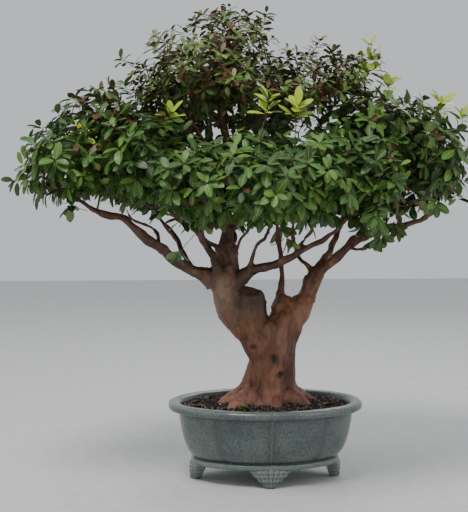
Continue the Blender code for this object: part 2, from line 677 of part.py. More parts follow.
# ---- tree ----------------------------------------------------------------------------------------
def fattened(points, margin):
    """A limb's points with a margin on every radius and past both ends."""
    fat = [(x, y, z, radius + margin) for x, y, z, radius in points]
    for end, inner in ((0, 1), (-1, -2)):
        outward = Vector(fat[end][:3]) - Vector(fat[inner][:3])
        tip = Vector(fat[end][:3]) + outward.normalized() * margin
        fat[end] = (*tip, fat[end][3])
    return fat


def melted_tree(name, margin, voxel, triangles, group):
    """Roots, trunk, twin stems and limbs, melted into the one piece that they grew as."""
    pieces = []
    for limb, points in {**TRUNK, **ROOTS, **LIMBS}.items():
        path = smooth_path(fattened(points, margin), 0.010)
        pieces.append(tube(limb, path, group, sides=4))
    return fuse(joined(name, pieces, group), voxel, triangles, smoothing=2)


def make_wood(group):
    wood = melted_tree("trunk_and_limbs", 0.0, WOOD_VOXEL, WOOD_TRIANGLES, group)
    wood.data.materials.append(finish("cinnamon_bark", (0.36, 0.17, 0.09), 0.6))
    smooth_shading(wood, 60)
    return wood


def make_wood_cutter(group):
    """A slightly fatter tree, to cut the soil and the leafy sprays clear of the wood."""
    return make_cutter(melted_tree("wood_clearance", WOOD_CLEARANCE, CUTTER_VOXEL, CUTTER_TRIANGLES, group))


def make_spray(name, blobs, group, material):
    """One leafy spray as a closed lump: its blobs melted together."""
    bm = bmesh.new()
    for x, y, z, half_width, half_depth, half_height in blobs:
        ball = bmesh.ops.create_icosphere(bm, subdivisions=3, radius=1.0)["verts"]
        bmesh.ops.scale(bm, verts=ball, vec=(half_width, half_depth, half_height))
        bmesh.ops.translate(bm, verts=ball, vec=(x, y, z))
    spray = add_mesh(name, mesh_from_bmesh(name, bm), group)
    fuse(spray, SPRAY_VOXEL, SPRAY_TRIANGLES, smoothing=1)
    spray.data.materials.append(material)
    return spray


def make_foliage(group, cutters, wood_cutter):
    """All sprays, each cut clear of the sprays before it that it meets, and of the wood."""
    material = finish("leaf_green", (0.08, 0.17, 0.04), 0.5)
    whole = {name: make_spray(name, blobs, group, material) for name, blobs in SPRAYS.items()}
    fat = {
        name: grown(spray, name + "_clearance", SPRAY_CLEARANCE, cutters) for name, spray in whole.items()
    }
    names = list(whole)
    for index, name in enumerate(names):
        for earlier in names[:index]:
            if boxes_meet(whole[name], fat[earlier]):
                boolean(whole[name], fat[earlier], "DIFFERENCE")
        boolean(whole[name], wood_cutter, "DIFFERENCE")
    for name in reversed(names):
        apply_modifiers(whole[name])
        keep_largest_body(whole[name])
        smooth_shading(whole[name], 60)
    return list(whole.values())


def boxes_meet(one, other):
    def limits(obj, axis):
        values = [vert.co[axis] for vert in obj.data.vertices]
        return min(values), max(values)

    for axis in range(3):
        low_one, high_one = limits(one, axis)
        low_other, high_other = limits(other, axis)
        if high_one < low_other or high_other < low_one:
            return False
    return True


# ---- small things on the soil ----------------------------------------------------------------------
def leaf_outline(length, width, steps):
    """Half widths along a pointed oval leaf, from stalk to tip."""
    return [
        (length * (i / steps - 0.5), width / 2 * math.sin(math.pi * i / steps) ** 0.8)
        for i in range(1, steps)
    ]


def leaf_sheet(bm, length, width, cup):
    """An open leaf surface, folded up a little along its midrib."""
    stalk = bm.verts.new((-length / 2, 0.0, 0.0))
    tip = bm.verts.new((length / 2, 0.0, 0.0))
    rows = []
    for along, half in leaf_outline(length, width, 6):
        rows.append([
            bm.verts.new((along, side * half, cup * half * abs(side))) for side in (-1.0, 0.0, 1.0)
        ])
    for near, far in zip(rows, rows[1:]):
        bm.faces.new((near[0], near[1], far[1], far[0]))
        bm.faces.new((near[1], near[2], far[2], far[1]))
    for end, row, flip in ((stalk, rows[0], True), (tip, rows[-1], False)):
        for a, b in ((row[0], row[1]), (row[1], row[2])):
            bm.faces.new((end, b, a) if flip else (end, a, b))


def make_fallen_leaf(name, x, y, turn, length, group, material):
    bm = bmesh.new()
    leaf_sheet(bm, length, length * 0.42, 0.25)
    leaf = add_mesh(name, mesh_from_bmesh(name, bm), group, material)
    solidify = leaf.modifiers.new("thickness", "SOLIDIFY")
    solidify.thickness = LEAF_THICKNESS
    solidify.offset = 0.0
    level, uphill = soil_surface(x, y)
    leaf.location = (x, y, level + LEAF_LIFT)
    lie = Vector((0.0, 0.0, 1.0)).rotation_difference(uphill)
    leaf.rotation_euler = (lie @ Quaternion((0.0, 0.0, 1.0), math.radians(turn))).to_euler()
    return leaf


def make_weed(group):
    """A seedling with a short stem and a rosette of oval leaves, as one solid."""
    x, y = WEED_AT
    foot_level = soil_surface(x, y)[0] + 0.0010
    top = foot_level + WEED_STEM
    pieces = [tube("weed_stem", [(x, y, foot_level, 0.0015), (x, y, top, 0.0014)], group)]
    for index in range(WEED_LEAVES):
        angle = 2 * math.pi * index / WEED_LEAVES + 0.4
        bm = bmesh.new()
        ball = bmesh.ops.create_icosphere(bm, subdivisions=2, radius=1.0)["verts"]
        bmesh.ops.scale(bm, verts=ball, vec=(0.0095, 0.0055, 0.0012))
        leaf = add_mesh("weed_leaf", mesh_from_bmesh("weed_leaf", bm), group)
        leaf.location = (x + 0.0085 * math.cos(angle), y + 0.0085 * math.sin(angle), top)
        leaf.rotation_euler = (0.0, -0.25, angle)
        bpy.context.view_layer.update()
        leaf.data.transform(leaf.matrix_world)
        pieces.append(leaf)
    weed = joined("weed_seedling", pieces, group)
    fuse(weed, 0.0007, 500, smoothing=0)
    weed.data.materials.append(finish("weed_green", (0.10, 0.30, 0.05), 0.5))
    return weed


def make_fallen_leaves(group):
    material = finish("dry_leaf", (0.16, 0.09, 0.05), 0.7)
    return [
        make_fallen_leaf(f"fallen_leaf_{number}", *place, group, material)
        for number, place in enumerate(FALLEN_LEAVES, 1)
    ]


# ---- the whole ------------------------------------------------------------------------------------
def main():
    for obj in list(bpy.data.objects):
        bpy.data.objects.remove(obj, do_unlink=True)
    parts = collection("bonsai_tree_in_pot")
    cutters = collection("cutters")

    wood = make_wood(parts)
    wood_cutter = make_wood_cutter(cutters)
    pieces = [wood, make_pot(parts, cutters), make_soil(parts, cutters, wood_cutter)]
    for side, x in (("left", -DRAIN_HOLE_X), ("right", DRAIN_HOLE_X)):
        pieces.append(make_screen(f"drain_screen_{side}", x, parts, cutters))
        pieces.append(make_clip(f"screen_clip_{side}", x, parts))
    pieces += make_foliage(parts, cutters, wood_cutter)
    pieces.append(make_weed(parts))
    pieces += make_fallen_leaves(parts)

    middle = bpy.data.objects.new("pot_middle", None)
    parts.objects.link(middle)
    for piece in pieces + list(cutters.objects):
        piece.parent = middle
    middle.location = Vector(ORIGIN_TO_POT)


main()
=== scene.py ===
"""Looks of the bonsai tree in its pot: real leaves on twigs, bark, glaze, grit and litter round the frame."""

import json
import math

import bmesh
import bpy
import numpy as np
from mathutils import Matrix, Vector, noise
from mathutils.bvhtree import BVHTree
from mathutils.kdtree import KDTree

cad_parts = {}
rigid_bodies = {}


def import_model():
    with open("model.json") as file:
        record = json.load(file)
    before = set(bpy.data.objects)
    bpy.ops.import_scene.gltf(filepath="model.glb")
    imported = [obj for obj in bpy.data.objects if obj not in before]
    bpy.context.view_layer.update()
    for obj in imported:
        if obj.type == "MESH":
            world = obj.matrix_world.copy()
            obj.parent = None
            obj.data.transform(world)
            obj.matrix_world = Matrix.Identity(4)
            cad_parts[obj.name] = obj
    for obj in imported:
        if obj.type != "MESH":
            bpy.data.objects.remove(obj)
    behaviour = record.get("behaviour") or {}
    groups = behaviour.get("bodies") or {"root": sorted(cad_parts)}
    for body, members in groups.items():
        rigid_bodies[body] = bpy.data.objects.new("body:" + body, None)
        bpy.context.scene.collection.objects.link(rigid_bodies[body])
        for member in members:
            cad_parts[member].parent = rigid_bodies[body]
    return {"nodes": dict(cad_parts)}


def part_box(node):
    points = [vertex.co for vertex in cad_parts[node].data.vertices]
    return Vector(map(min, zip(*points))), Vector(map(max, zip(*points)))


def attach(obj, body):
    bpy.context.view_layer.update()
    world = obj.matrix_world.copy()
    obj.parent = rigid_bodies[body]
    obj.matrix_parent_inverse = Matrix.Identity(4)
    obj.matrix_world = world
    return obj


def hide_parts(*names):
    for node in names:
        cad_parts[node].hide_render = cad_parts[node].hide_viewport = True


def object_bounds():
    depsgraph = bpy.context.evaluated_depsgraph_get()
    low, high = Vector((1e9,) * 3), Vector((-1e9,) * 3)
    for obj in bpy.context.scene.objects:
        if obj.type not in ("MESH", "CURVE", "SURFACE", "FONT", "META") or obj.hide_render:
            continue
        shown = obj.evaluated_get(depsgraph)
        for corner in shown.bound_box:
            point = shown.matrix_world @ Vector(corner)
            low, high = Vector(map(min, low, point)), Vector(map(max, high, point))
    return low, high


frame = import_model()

SEED = 11
CAD_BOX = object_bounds()
NODES = frame["nodes"]
POT_LOW, POT_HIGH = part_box("pot")
POT_MIDDLE = (POT_LOW + POT_HIGH) / 2
POT_X, POT_Y = POT_MIDDLE.x, POT_MIDDLE.y
RIM_TOP = POT_HIGH.z


def draws(*stage):
    """Random numbers of one stage, so that no stage depends on how many another one drew."""
    return np.random.default_rng((SEED,) + stage)


# ---- camera ----------------------------------------------------------------------------------------
CAMERA_DISTANCE = 2.80       # from the pot's middle, level
CAMERA_HEIGHT = 0.6625
CAMERA_AZIMUTH = -6.0        # a little left of the front
CAMERA_PAN = 1.46            # further left than the pot
CAMERA_TILT = -3.2
LENS = 86.9


def make_camera():
    camera = bpy.data.objects.new("camera", bpy.data.cameras.new("camera"))
    bpy.context.scene.collection.objects.link(camera)
    camera.data.lens = LENS
    camera.data.clip_end = 30.0
    turn = math.radians(CAMERA_AZIMUTH)
    camera.location = (
        POT_X + CAMERA_DISTANCE * math.sin(turn),
        POT_Y - CAMERA_DISTANCE * math.cos(turn),
        CAMERA_HEIGHT,
    )
    camera.rotation_euler = (math.radians(90 + CAMERA_TILT), 0.0, turn + math.radians(CAMERA_PAN))
    bpy.context.scene.camera = camera


# ---- node helpers ----------------------------------------------------------------------------------
class Shader:
    """A short way to write a Principled material from nodes."""

    def __init__(self, name):
        self.material = bpy.data.materials.new(name)
        self.material.use_nodes = True
        self.tree = self.material.node_tree
        self.bsdf = self.tree.nodes["Principled BSDF"]

    def node(self, kind, **settings):
        made = self.tree.nodes.new(kind)
        for key, value in settings.items():
            setattr(made, key, value)
        return made

    def put(self, target, value):
        if hasattr(value, "is_output"):
            self.tree.links.new(value, target)
        else:
            target.default_value = value
        return target

    def set(self, socket, value):
        self.put(self.bsdf.inputs[socket], value)

    def coords(self, scale=(1.0, 1.0, 1.0)):
        coords = self.node("ShaderNodeTexCoord")
        mapping = self.node("ShaderNodeMapping")
        mapping.inputs["Scale"].default_value = scale
        self.put(mapping.inputs["Vector"], coords.outputs["Object"])
        return mapping.outputs["Vector"]

    def noise(self, scale, detail=3.0, roughness=0.55, vector=None, distortion=0.0):
        made = self.node("ShaderNodeTexNoise")
        made.inputs["Scale"].default_value = scale
        made.inputs["Detail"].default_value = detail
        made.inputs["Roughness"].default_value = roughness
        made.inputs["Distortion"].default_value = distortion
        self.put(made.inputs["Vector"], vector or self.coords())
        return made.outputs["Fac"]

    def voronoi(self, scale, feature="F1", vector=None):
        made = self.node("ShaderNodeTexVoronoi", feature=feature)
        made.inputs["Scale"].default_value = scale
        self.put(made.inputs["Vector"], vector or self.coords())
        return made.outputs["Distance"]

    def ramp(self, value, *stops):
        """stops are (position, colour or grey level)."""
        made = self.node("ShaderNodeValToRGB")
        elements = made.color_ramp.elements
        while len(elements) < len(stops):
            elements.new(0.5)
        for element, (position, colour) in zip(elements, stops):
            element.position = position
            grey = isinstance(colour, (int, float))
            element.color = (colour,) * 3 + (1.0,) if grey else (*colour, 1.0)
        self.put(made.inputs["Fac"], value)
        return made.outputs["Color"]

    def mix(self, share, one, other, blend="MIX"):
        made = self.node("ShaderNodeMix", data_type="RGBA", blend_type=blend)
        self.put(made.inputs[0], share)
        for socket, value in ((made.inputs[6], one), (made.inputs[7], other)):
            self.put(socket, (*value, 1.0) if isinstance(value, tuple) and len(value) == 3 else value)
        return made.outputs[2]

    def math(self, operation, one, other=0.0):
        made = self.node("ShaderNodeMath", operation=operation)
        self.put(made.inputs[0], one)
        self.put(made.inputs[1], other)
        return made.outputs[0]

    def attribute(self, name, output="Color"):
        return self.node("ShaderNodeAttribute", attribute_name=name).outputs[output]

    def bump(self, height, distance, strength=1.0, normal=None):
        made = self.node("ShaderNodeBump")
        made.inputs["Distance"].default_value = distance
        made.inputs["Strength"].default_value = strength
        self.put(made.inputs["Height"], height)
        if normal is not None:
            self.put(made.inputs["Normal"], normal)
        return made.outputs["Normal"]


# ---- mesh helpers ----------------------------------------------------------------------------------
def add_object(name, mesh, *materials):
    obj = bpy.data.objects.new(name, mesh)
    bpy.context.scene.collection.objects.link(obj)
    for material in materials:
        mesh.materials.append(material)
    return obj


def mesh_from_arrays(name, points, faces, uvs=None, colours=None, materials=None):
    """faces is a list of (count, corners) arrays of equal-sided faces, in the order of the layers."""
    mesh = bpy.data.meshes.new(name)
    mesh.vertices.add(len(points))
    mesh.vertices.foreach_set("co", np.asarray(points, np.float32).ravel())
    corners = np.concatenate([f.ravel() for f in faces])
    sizes = np.concatenate([np.full(len(f), f.shape[1]) for f in faces])
    mesh.loops.add(len(corners))
    mesh.loops.foreach_set("vertex_index", corners.astype(np.int32))
    mesh.polygons.add(len(sizes))
    starts = np.concatenate([[0], np.cumsum(sizes)[:-1]])
    mesh.polygons.foreach_set("loop_start", starts.astype(np.int32))
    if materials is not None:
        mesh.polygons.foreach_set("material_index", np.asarray(materials, np.int32))
    for layer, values in (uvs or {}).items():
        uv = mesh.uv_layers.new(name=layer)
        uv.data.foreach_set("uv", np.asarray(values, np.float32).ravel())
    for layer, values in (colours or {}).items():
        attribute = mesh.color_attributes.new(layer, "FLOAT_COLOR", "POINT")
        attribute.data.foreach_set("color", np.asarray(values, np.float32).ravel())
    mesh.update(calc_edges=True)
    mesh.validate()
    mesh.shade_smooth()
    return mesh


def evaluated_mesh(obj):
    bpy.context.view_layer.update()
    mesh = bpy.data.meshes.new_from_object(obj.evaluated_get(bpy.context.evaluated_depsgraph_get()))
    obj.modifiers.clear()
    obj.data = mesh
    return mesh


def points_of(mesh):
    values = np.zeros(len(mesh.vertices) * 3, np.float32)
    mesh.vertices.foreach_get("co", values)
    return values.reshape(-1, 3).astype(float)


def normals_of(mesh):
    values = np.zeros(len(mesh.vertices) * 3, np.float32)
    mesh.vertex_normals.foreach_get("vector", values)
    return values.reshape(-1, 3).astype(float)


def unit(vectors):
    return vectors / np.maximum(np.linalg.norm(vectors, axis=-1, keepdims=True), 1e-9)


def fractal(point, size, octaves=3):
    return noise.fractal(Vector(point) / size, 1.0, 2.0, octaves)


# ---- leaves ----------------------------------------------------------------------------------------
LEAF_STATIONS = np.array([0.11, 0.30, 0.52, 0.74, 0.91])
LEAF_HALF_WIDTHS = np.array([0.44, 0.84, 1.00, 0.90, 0.54])
LEAF_THICKNESS = 0.0005


def leaf_template():
    """Corner numbers of one closed leaf: 5 stations of (left, rib, right), base, tip, then 5 ribs below."""
    base, tip = 15, 16

    def at(station, side):
        return station * 3 + side

    def under(station):
        return 17 + station

    top3, top4, low3, low4 = [], [], [], []
    for s in range(4):
        for side in (0, 1):
            a, b = at(s, side), at(s, side + 1)
            c, d = at(s + 1, side + 1), at(s + 1, side)
            top4.append((a, b, c, d))
        low4.append((under(s), at(s, 0), at(s + 1, 0), under(s + 1)))
        low4.append((at(s, 2), under(s), under(s + 1), at(s + 1, 2)))
    for side in (0, 1):
        top3.append((base, at(0, side + 1), at(0, side)))
        top3.append((tip, at(4, side), at(4, side + 1)))
    low3.append((base, at(0, 0), under(0)))
    low3.append((base, under(0), at(0, 2)))
    low3.append((tip, under(4), at(4, 0)))
    low3.append((tip, at(4, 2), under(4)))
    rim = {(at(s, side), at(s + 1, side)) for s in range(4) for side in (0, 2)}
    rim |= {(at(0, side), base) for side in (0, 2)} | {(at(4, side), tip) for side in (0, 2)}
    return np.array(top4), np.array(top3), np.array(low4), np.array(low3), rim


TOP4, TOP3, LOW4, LOW3, LEAF_RIM = leaf_template()
LEAF_POINTS = 22


def leaf_uv_of_points():
    """Across and along the blade, for each of a leaf's points."""
    uv = np.zeros((LEAF_POINTS, 2))
    for s, (along, half) in enumerate(zip(LEAF_STATIONS, LEAF_HALF_WIDTHS)):
        uv[s * 3 + 0] = (0.5 - 0.5 * half, along)
        uv[s * 3 + 1] = (0.5, along)
        uv[s * 3 + 2] = (0.5 + 0.5 * half, along)
        uv[17 + s] = (0.5, along)
    uv[15] = (0.5, 0.0)
    uv[16] = (0.5, 1.0)
    return uv


def build_leaves(name, leaves, materials):
    """leaves: dict of arrays base, along, up, length, width, droop, fold, colour. One mesh of closed blades."""
    count = len(leaves["base"])
    along, up = unit(leaves["along"]), leaves["up"]
    across = unit(np.cross(along, up))
    up = np.cross(across, along)
    length, width = leaves["length"][:, None], leaves["width"][:, None]
    droop, fold, twist = leaves["droop"][:, None], leaves["fold"][:, None], leaves["twist"][:, None]
    points = np.zeros((count, LEAF_POINTS, 3))

    def place(u, side, drop):
        """A point at share u along the blade and side of its half width."""
        bend = -droop * u * u
        lift = fold * abs(side) + twist * side * (u - 0.3) - drop
        x = length * (u - 0.25 * droop ** 2 * u ** 3)
        return (
            leaves["base"] + along * x + up * (length * bend + width * 0.5 * lift)
            + across * (width * 0.5 * side)
        )

    for s, (u, half) in enumerate(zip(LEAF_STATIONS, LEAF_HALF_WIDTHS)):
        for column, side in enumerate((-half, 0.0, half)):
            points[:, s * 3 + column] = place(u, side, 0.0)
        points[:, 17 + s] = place(u, 0.0, 2 * LEAF_THICKNESS / width)
    points[:, 15] = leaves["base"]
    points[:, 16] = place(1.0, 0.0, 0.0)

    first = (np.arange(count) * LEAF_POINTS)[:, None, None]
    faces = [(first + t[None]).reshape(-1, t.shape[1]) for t in (TOP4, TOP3, LOW4, LOW3)]
    material_index = np.concatenate([
        np.zeros(count * (len(TOP4) + len(TOP3)), int), np.ones(count * (len(LOW4) + len(LOW3)), int),
    ])
    blade = leaf_uv_of_points()
    side = math.ceil(math.sqrt(count))
    cell = np.stack([np.arange(count) % side, np.arange(count) // side], 1)[:, None, :] / side
    blade_uv, bake_uv = [], []
    for template, shift in ((TOP4, 0.02), (TOP3, 0.02), (LOW4, 0.52), (LOW3, 0.52)):
        corner = blade[template].reshape(-1, 2)
        blade_uv.append(np.tile(corner, (count, 1)))
        inside = np.stack([corner[:, 0] * 0.46 + shift, corner[:, 1] * 0.96 + 0.02], 1)
        bake_uv.append((cell + inside[None] / side).reshape(-1, 2))
    colour = np.ones((count, LEAF_POINTS, 4))
    colour[:, :, :3] = leaves["colour"][:, None, :]
    tipward = np.clip((blade[:, 1] - 0.35) / 0.6, 0, 1) + np.abs(blade[:, 0] - 0.5) * 0.5
    colour[:, :, 3] = np.clip(leaves["bronze"][:, None] * 2.0 - 1.0 + tipward[None], 0, 1) * (
        leaves["bronze"][:, None] > 0)
    mesh = mesh_from_arrays(
        name, points.reshape(-1, 3), faces,
        uvs={"OFBake": np.concatenate(bake_uv), "blade": np.concatenate(blade_uv)},
        colours={"leaf_colour": colour.reshape(-1, 4)},
        materials=material_index,
    )
    sharpen_rims(mesh)
    return add_object(name, mesh, *materials)


def sharpen_rims(mesh):
    """Leaf edges are sharp, so that a blade's two faces are shaded apart."""
    ends = np.zeros(len(mesh.edges) * 2, np.int32)
    mesh.edges.foreach_get("vertices", ends)
    ends = ends.reshape(-1, 2) % LEAF_POINTS
    table = np.zeros((LEAF_POINTS, LEAF_POINTS), bool)
    for a, b in LEAF_RIM:
        table[a, b] = table[b, a] = True
    sharp = mesh.attributes.get("sharp_edge") or mesh.attributes.new("sharp_edge", "BOOLEAN", "EDGE")
    sharp.data.foreach_set("value", table[ends[:, 0], ends[:, 1]])


def leaf_materials():
    top = Shader("leaf_top")
    uv = top.node("ShaderNodeUVMap", uv_map="blade")
    split = top.node("ShaderNodeSeparateXYZ")
    top.put(split.inputs[0], uv.outputs[0])
    off = top.math("ABSOLUTE", top.math("SUBTRACT", split.outputs[0], 0.5))
    rib = top.ramp(off, (0.0, 1.0), (0.035, 0.6), (0.07, 0.0))
    slant = top.math("ADD", top.math("MULTIPLY", split.outputs[1], 46.0), top.math("MULTIPLY", off, -34.0))
    veins = top.ramp(top.math("SINE", slant), (0.80, 0.0), (1.0, 1.0))
    base = top.attribute("leaf_colour")
    mottle = top.ramp(top.noise(160.0, 2.0), (0.3, 0.78), (0.7, 1.15))
    base = top.mix(1.0, base, mottle, "MULTIPLY")
    pale = top.mix(0.5, base, (0.36, 0.46, 0.16))
    colour = top.mix(top.math("MULTIPLY", veins, 0.22), base, pale)
    colour = top.mix(top.math("MULTIPLY", rib, 0.75), colour, pale)
    burnt = top.mix(top.noise(120.0, 2.0), (0.050, 0.013, 0.008), (0.150, 0.040, 0.018))
    top.set("Base Color", top.mix(top.attribute("leaf_colour", "Alpha"), colour, burnt))
    top.set("Roughness", top.ramp(top.noise(90.0, 2.0), (0.3, 0.34), (0.7, 0.50)))
    top.set("Specular IOR Level", 0.42)
    top.set("Normal", top.bump(top.math("ADD", rib, top.math("MULTIPLY", veins, 0.35)), 0.0004, 0.6))

    under = Shader("leaf_underside")
    base = under.attribute("leaf_colour")
    dull = under.mix(0.45, base, (0.24, 0.31, 0.13))
    grain = under.ramp(under.noise(220.0, 2.0), (0.3, 0.85), (0.7, 1.12))
    dull = under.mix(under.attribute("leaf_colour", "Alpha"), dull, (0.150, 0.060, 0.045))
    under.set("Base Color", under.mix(1.0, dull, grain, "MULTIPLY"))
    under.set("Roughness", 0.62)
    return top.material, under.material


# ---- where the leaves grow -------------------------------------------------------------------------
LEAF_COLOURS = {
    "deep": (0.016, 0.056, 0.009),
    "mid": (0.042, 0.120, 0.014),
    "fresh": (0.110, 0.230, 0.022),
    "young": (0.430, 0.540, 0.030),
}
SPRAYS = sorted(n for n in NODES if n.startswith("foliage_"))
CROWN_SPRAYS = {"foliage_crown", "foliage_crown_right", "foliage_crown_back"}
TIP_SPACING = 0.032
TIP_MARGIN = 0.010           # shoot tips stay this far inside the CAD box
LOWEST_TIP = np.array(CAD_BOX[0]) + TIP_MARGIN
HIGHEST_TIP = np.array(CAD_BOX[1]) - TIP_MARGIN
UNDERSIDE_KEPT = 0.55


def spray_tips(node):
    """Shoot tips over a spray's surface: positions and growing directions."""
    rng = draws(1, SPRAYS.index(node))
    mesh = NODES[node].data
    mesh.calc_loop_triangles()
    points = points_of(mesh)
    tris = np.zeros(len(mesh.loop_triangles) * 3, np.int32)
    mesh.loop_triangles.foreach_get("vertices", tris)
    a, b, c = (points[tris.reshape(-1, 3)[:, i]] for i in range(3))
    crossed = np.cross(b - a, c - a)
    area = np.linalg.norm(crossed, axis=1) / 2
    normal = unit(crossed)
    middle = points.mean(0)
    crown = node in CROWN_SPRAYS
    spacing = TIP_SPACING * (0.90 if crown else 1.0)
    wanted = int(area.sum() / spacing ** 2 * 14)
    pick = rng.choice(len(area), wanted, p=area / area.sum())
    u, v = rng.random(wanted), rng.random(wanted)
    fold = u + v > 1
    u[fold], v[fold] = 1 - u[fold], 1 - v[fold]
    spot = a[pick] + (b - a)[pick] * u[:, None] + (c - a)[pick] * v[:, None]
    out = normal[pick]
    kept, places, ways = [], [], []
    for p, n in zip(spot, out):
        if n[2] < -0.35 and rng.random() > UNDERSIDE_KEPT:
            continue
        ragged = (0.020 + 0.026 * crown) * fractal(p, 0.060) + 0.014 * fractal(p, 0.022)
        if fractal(p + 7.0, 0.040) < (-0.34 if crown else -0.46):
            continue
        if n[2] < -0.2:
            ragged = min(ragged, 0.004)
        elif rng.random() < 0.09:
            ragged += rng.uniform(0.012, 0.026)
        place = p - n * (0.018 - ragged + 0.014 * rng.random())
        if kept and np.min(np.sum((np.array(kept) - place) ** 2, 1)) < spacing ** 2:
            continue
        kept.append(place)
        away = unit(place - np.array([POT_X - 0.05, POT_Y, place[2] - 0.12]))
        way = n * 0.75 + away * 0.45 + np.array([0, 0, 0.40]) + rng.normal(0, 0.22, 3)
        if n[2] < -0.2:
            way = away * 0.9 + n * 0.35 + np.array([0, 0, 0.05]) + rng.normal(0, 0.22, 3)
        places.append(place)
        ways.append(unit(way))
    inside = [np.all(p > LOWEST_TIP) and np.all(p < HIGHEST_TIP) for p in places]
    places = [p for p, kept_in in zip(places, inside) if kept_in]
    ways = [w for w, kept_in in zip(ways, inside) if kept_in]
    inner = [p - n * rng.uniform(0.045, 0.085) for p, n in zip(places, ways) if rng.random() < 0.30]
    for place in inner:
        places.append(place)
        ways.append(unit(place - middle + rng.normal(0, 0.02, 3)))
    return np.array(places), np.array(ways)


# ---- twigs -----------------------------------------------------------------------------------------
TWIG_STEP = 0.012
TWIG_TIP_RADIUS = 0.0008
TWIG_LARGEST = 0.0042
TWIG_SIDES = 5


class Twigs:
    """A branching network that starts on the wood and reaches every shoot tip."""

    def __init__(self, wood_points, wood_ways):
        self.place = wood_points
        self.way = wood_ways
        self.parent = np.full(len(wood_points), -1)
        self.reach = np.zeros(len(wood_points))
        self.tips = np.zeros(len(wood_points))
        self.paths = []

    def grow(self, tip, way, rng):
        gap = tip - self.place
        distance = np.linalg.norm(gap, axis=1)
        turn = 1.0 - np.sum(gap * self.way, 1) / np.maximum(distance, 1e-6)
        cost = distance * (1.0 + 0.30 * turn) + 0.10 * self.reach
        start = int(np.argmin(cost))
        p0, length = self.place[start], distance[start]
        lead = unit(self.way[start] * 0.6 + unit(tip - p0) * 0.7) * length * 0.38
        p1, p2 = p0 + lead, tip - way * length * 0.30
        steps = max(2, int(round(length / TWIG_STEP)))
        path, previous = [start], start
        for i in range(1, steps + 1):
            t = i / steps
            q = (
                (1 - t) ** 3 * p0 + 3 * (1 - t) ** 2 * t * p1 + 3 * (1 - t) * t * t * p2 + t ** 3 * tip
            )
            if i < steps:
                q = q + rng.normal(0, 0.0011, 3)
            self.place = np.vstack([self.place, q])
            self.way = np.vstack([self.way, unit(q - self.place[previous])])
            self.parent = np.append(self.parent, previous)
            self.reach = np.append(self.reach, self.reach[previous] + length / steps)
            self.tips = np.append(self.tips, 0)
            previous = len(self.place) - 1
            path.append(previous)
        self.paths.append(path)
        node = previous
        while node >= 0:
            self.tips[node] += 1
            node = self.parent[node]

    def radius(self, index):
        return min(TWIG_TIP_RADIUS * max(self.tips[index], 1) ** 0.42, TWIG_LARGEST)

    def mesh(self, name):
        points, faces, ages = [], [], []
        ring = [(math.cos(2 * math.pi * k / TWIG_SIDES), math.sin(2 * math.pi * k / TWIG_SIDES))
                for k in range(TWIG_SIDES)]
        for path in self.paths:
            centre = self.place[path]
            radii = [self.radius(i) for i in path]
            radii[0] = radii[1]
            direction = unit(np.gradient(centre, axis=0))
            side = np.cross(direction[0], (0.3, 0.5, 0.8))
            first = len(points)
            for c, d, r in zip(centre, direction, radii):
                side = unit(side - d * np.dot(side, d))
                other = np.cross(d, side)
                for cos, sin in ring:
                    points.append(c + (side * cos + other * sin) * r)
                    ages.append(r)
            for i in range(len(path) - 1):
                for k in range(TWIG_SIDES):
                    m = (k + 1) % TWIG_SIDES
                    a, b = first + i * TWIG_SIDES, first + (i + 1) * TWIG_SIDES
                    faces.append((a + k, a + m, b + m, b + k))
            faces.append(tuple(first + k for k in reversed(range(TWIG_SIDES))))
            faces.append(tuple(len(points) - TWIG_SIDES + k for k in range(TWIG_SIDES)))
        mesh = bpy.data.meshes.new(name)
        mesh.from_pydata([tuple(p) for p in points], [], faces)
        age = mesh.attributes.new("age", "FLOAT", "POINT")
        age.data.foreach_set("value", np.clip(np.array(ages) / TWIG_LARGEST, 0, 1).astype(np.float32))
        mesh.shade_smooth()
        return mesh


def twig_material():
    twig = Shader("twig_bark")
    age = twig.attribute("age", "Fac")
    mottle = twig.noise(130.0, 3.0)
    colour = twig.ramp(age, (0.15, (0.150, 0.115, 0.045)), (0.4, (0.110, 0.055, 0.032)),
                       (1.0, (0.120, 0.055, 0.035)))
    colour = twig.mix(1.0, colour, twig.ramp(mottle, (0.3, 0.6), (0.7, 1.25)), "MULTIPLY")
    twig.set("Base Color", colour)
    twig.set("Roughness", 0.72)
    twig.set("Normal", twig.bump(mottle, 0.0005, 0.7))
    return twig.material


# ---- rosettes --------------------------------------------------------------------------------------
def leaf_colour_at(place, crown, young, rng):
    """A leaf's colour, and how far it has bronzed from its tip, from where it grows; higher leaves are painted
    lighter, as painted light on the top of the canopy.
    """
    deep, mid, fresh, fresher = (np.array(LEAF_COLOURS[n]) for n in ("deep", "mid", "fresh", "young"))
    share = np.clip(0.42 + 0.5 * fractal(place, 0.09) + rng.normal(0, 0.22) + 0.15 * crown, 0, 1)
    colour = deep + (mid - deep) * min(1, share * 2) + (fresh - mid) * max(0, share * 2 - 1)
    if young:
        colour = colour + (fresher - colour) * rng.uniform(0.5, 1.0)
        return colour * rng.uniform(0.9, 1.1), 0.0
    # Painted light: leaves above 0.78 m are mixed towards a lighter yellow-green, more so higher up; the same
    # height also raises the odds of bronze tips
    high = np.clip((place[2] - 0.78) / 0.12, 0, 1)
    odds = 0.06 + 0.55 * high
    colour = colour + (np.array([0.100, 0.150, 0.022]) - colour) * high * 0.45
    bronze = rng.uniform(0.20, 0.85) if rng.random() < odds else 0.0
    return colour * rng.uniform(0.85, 1.15), bronze


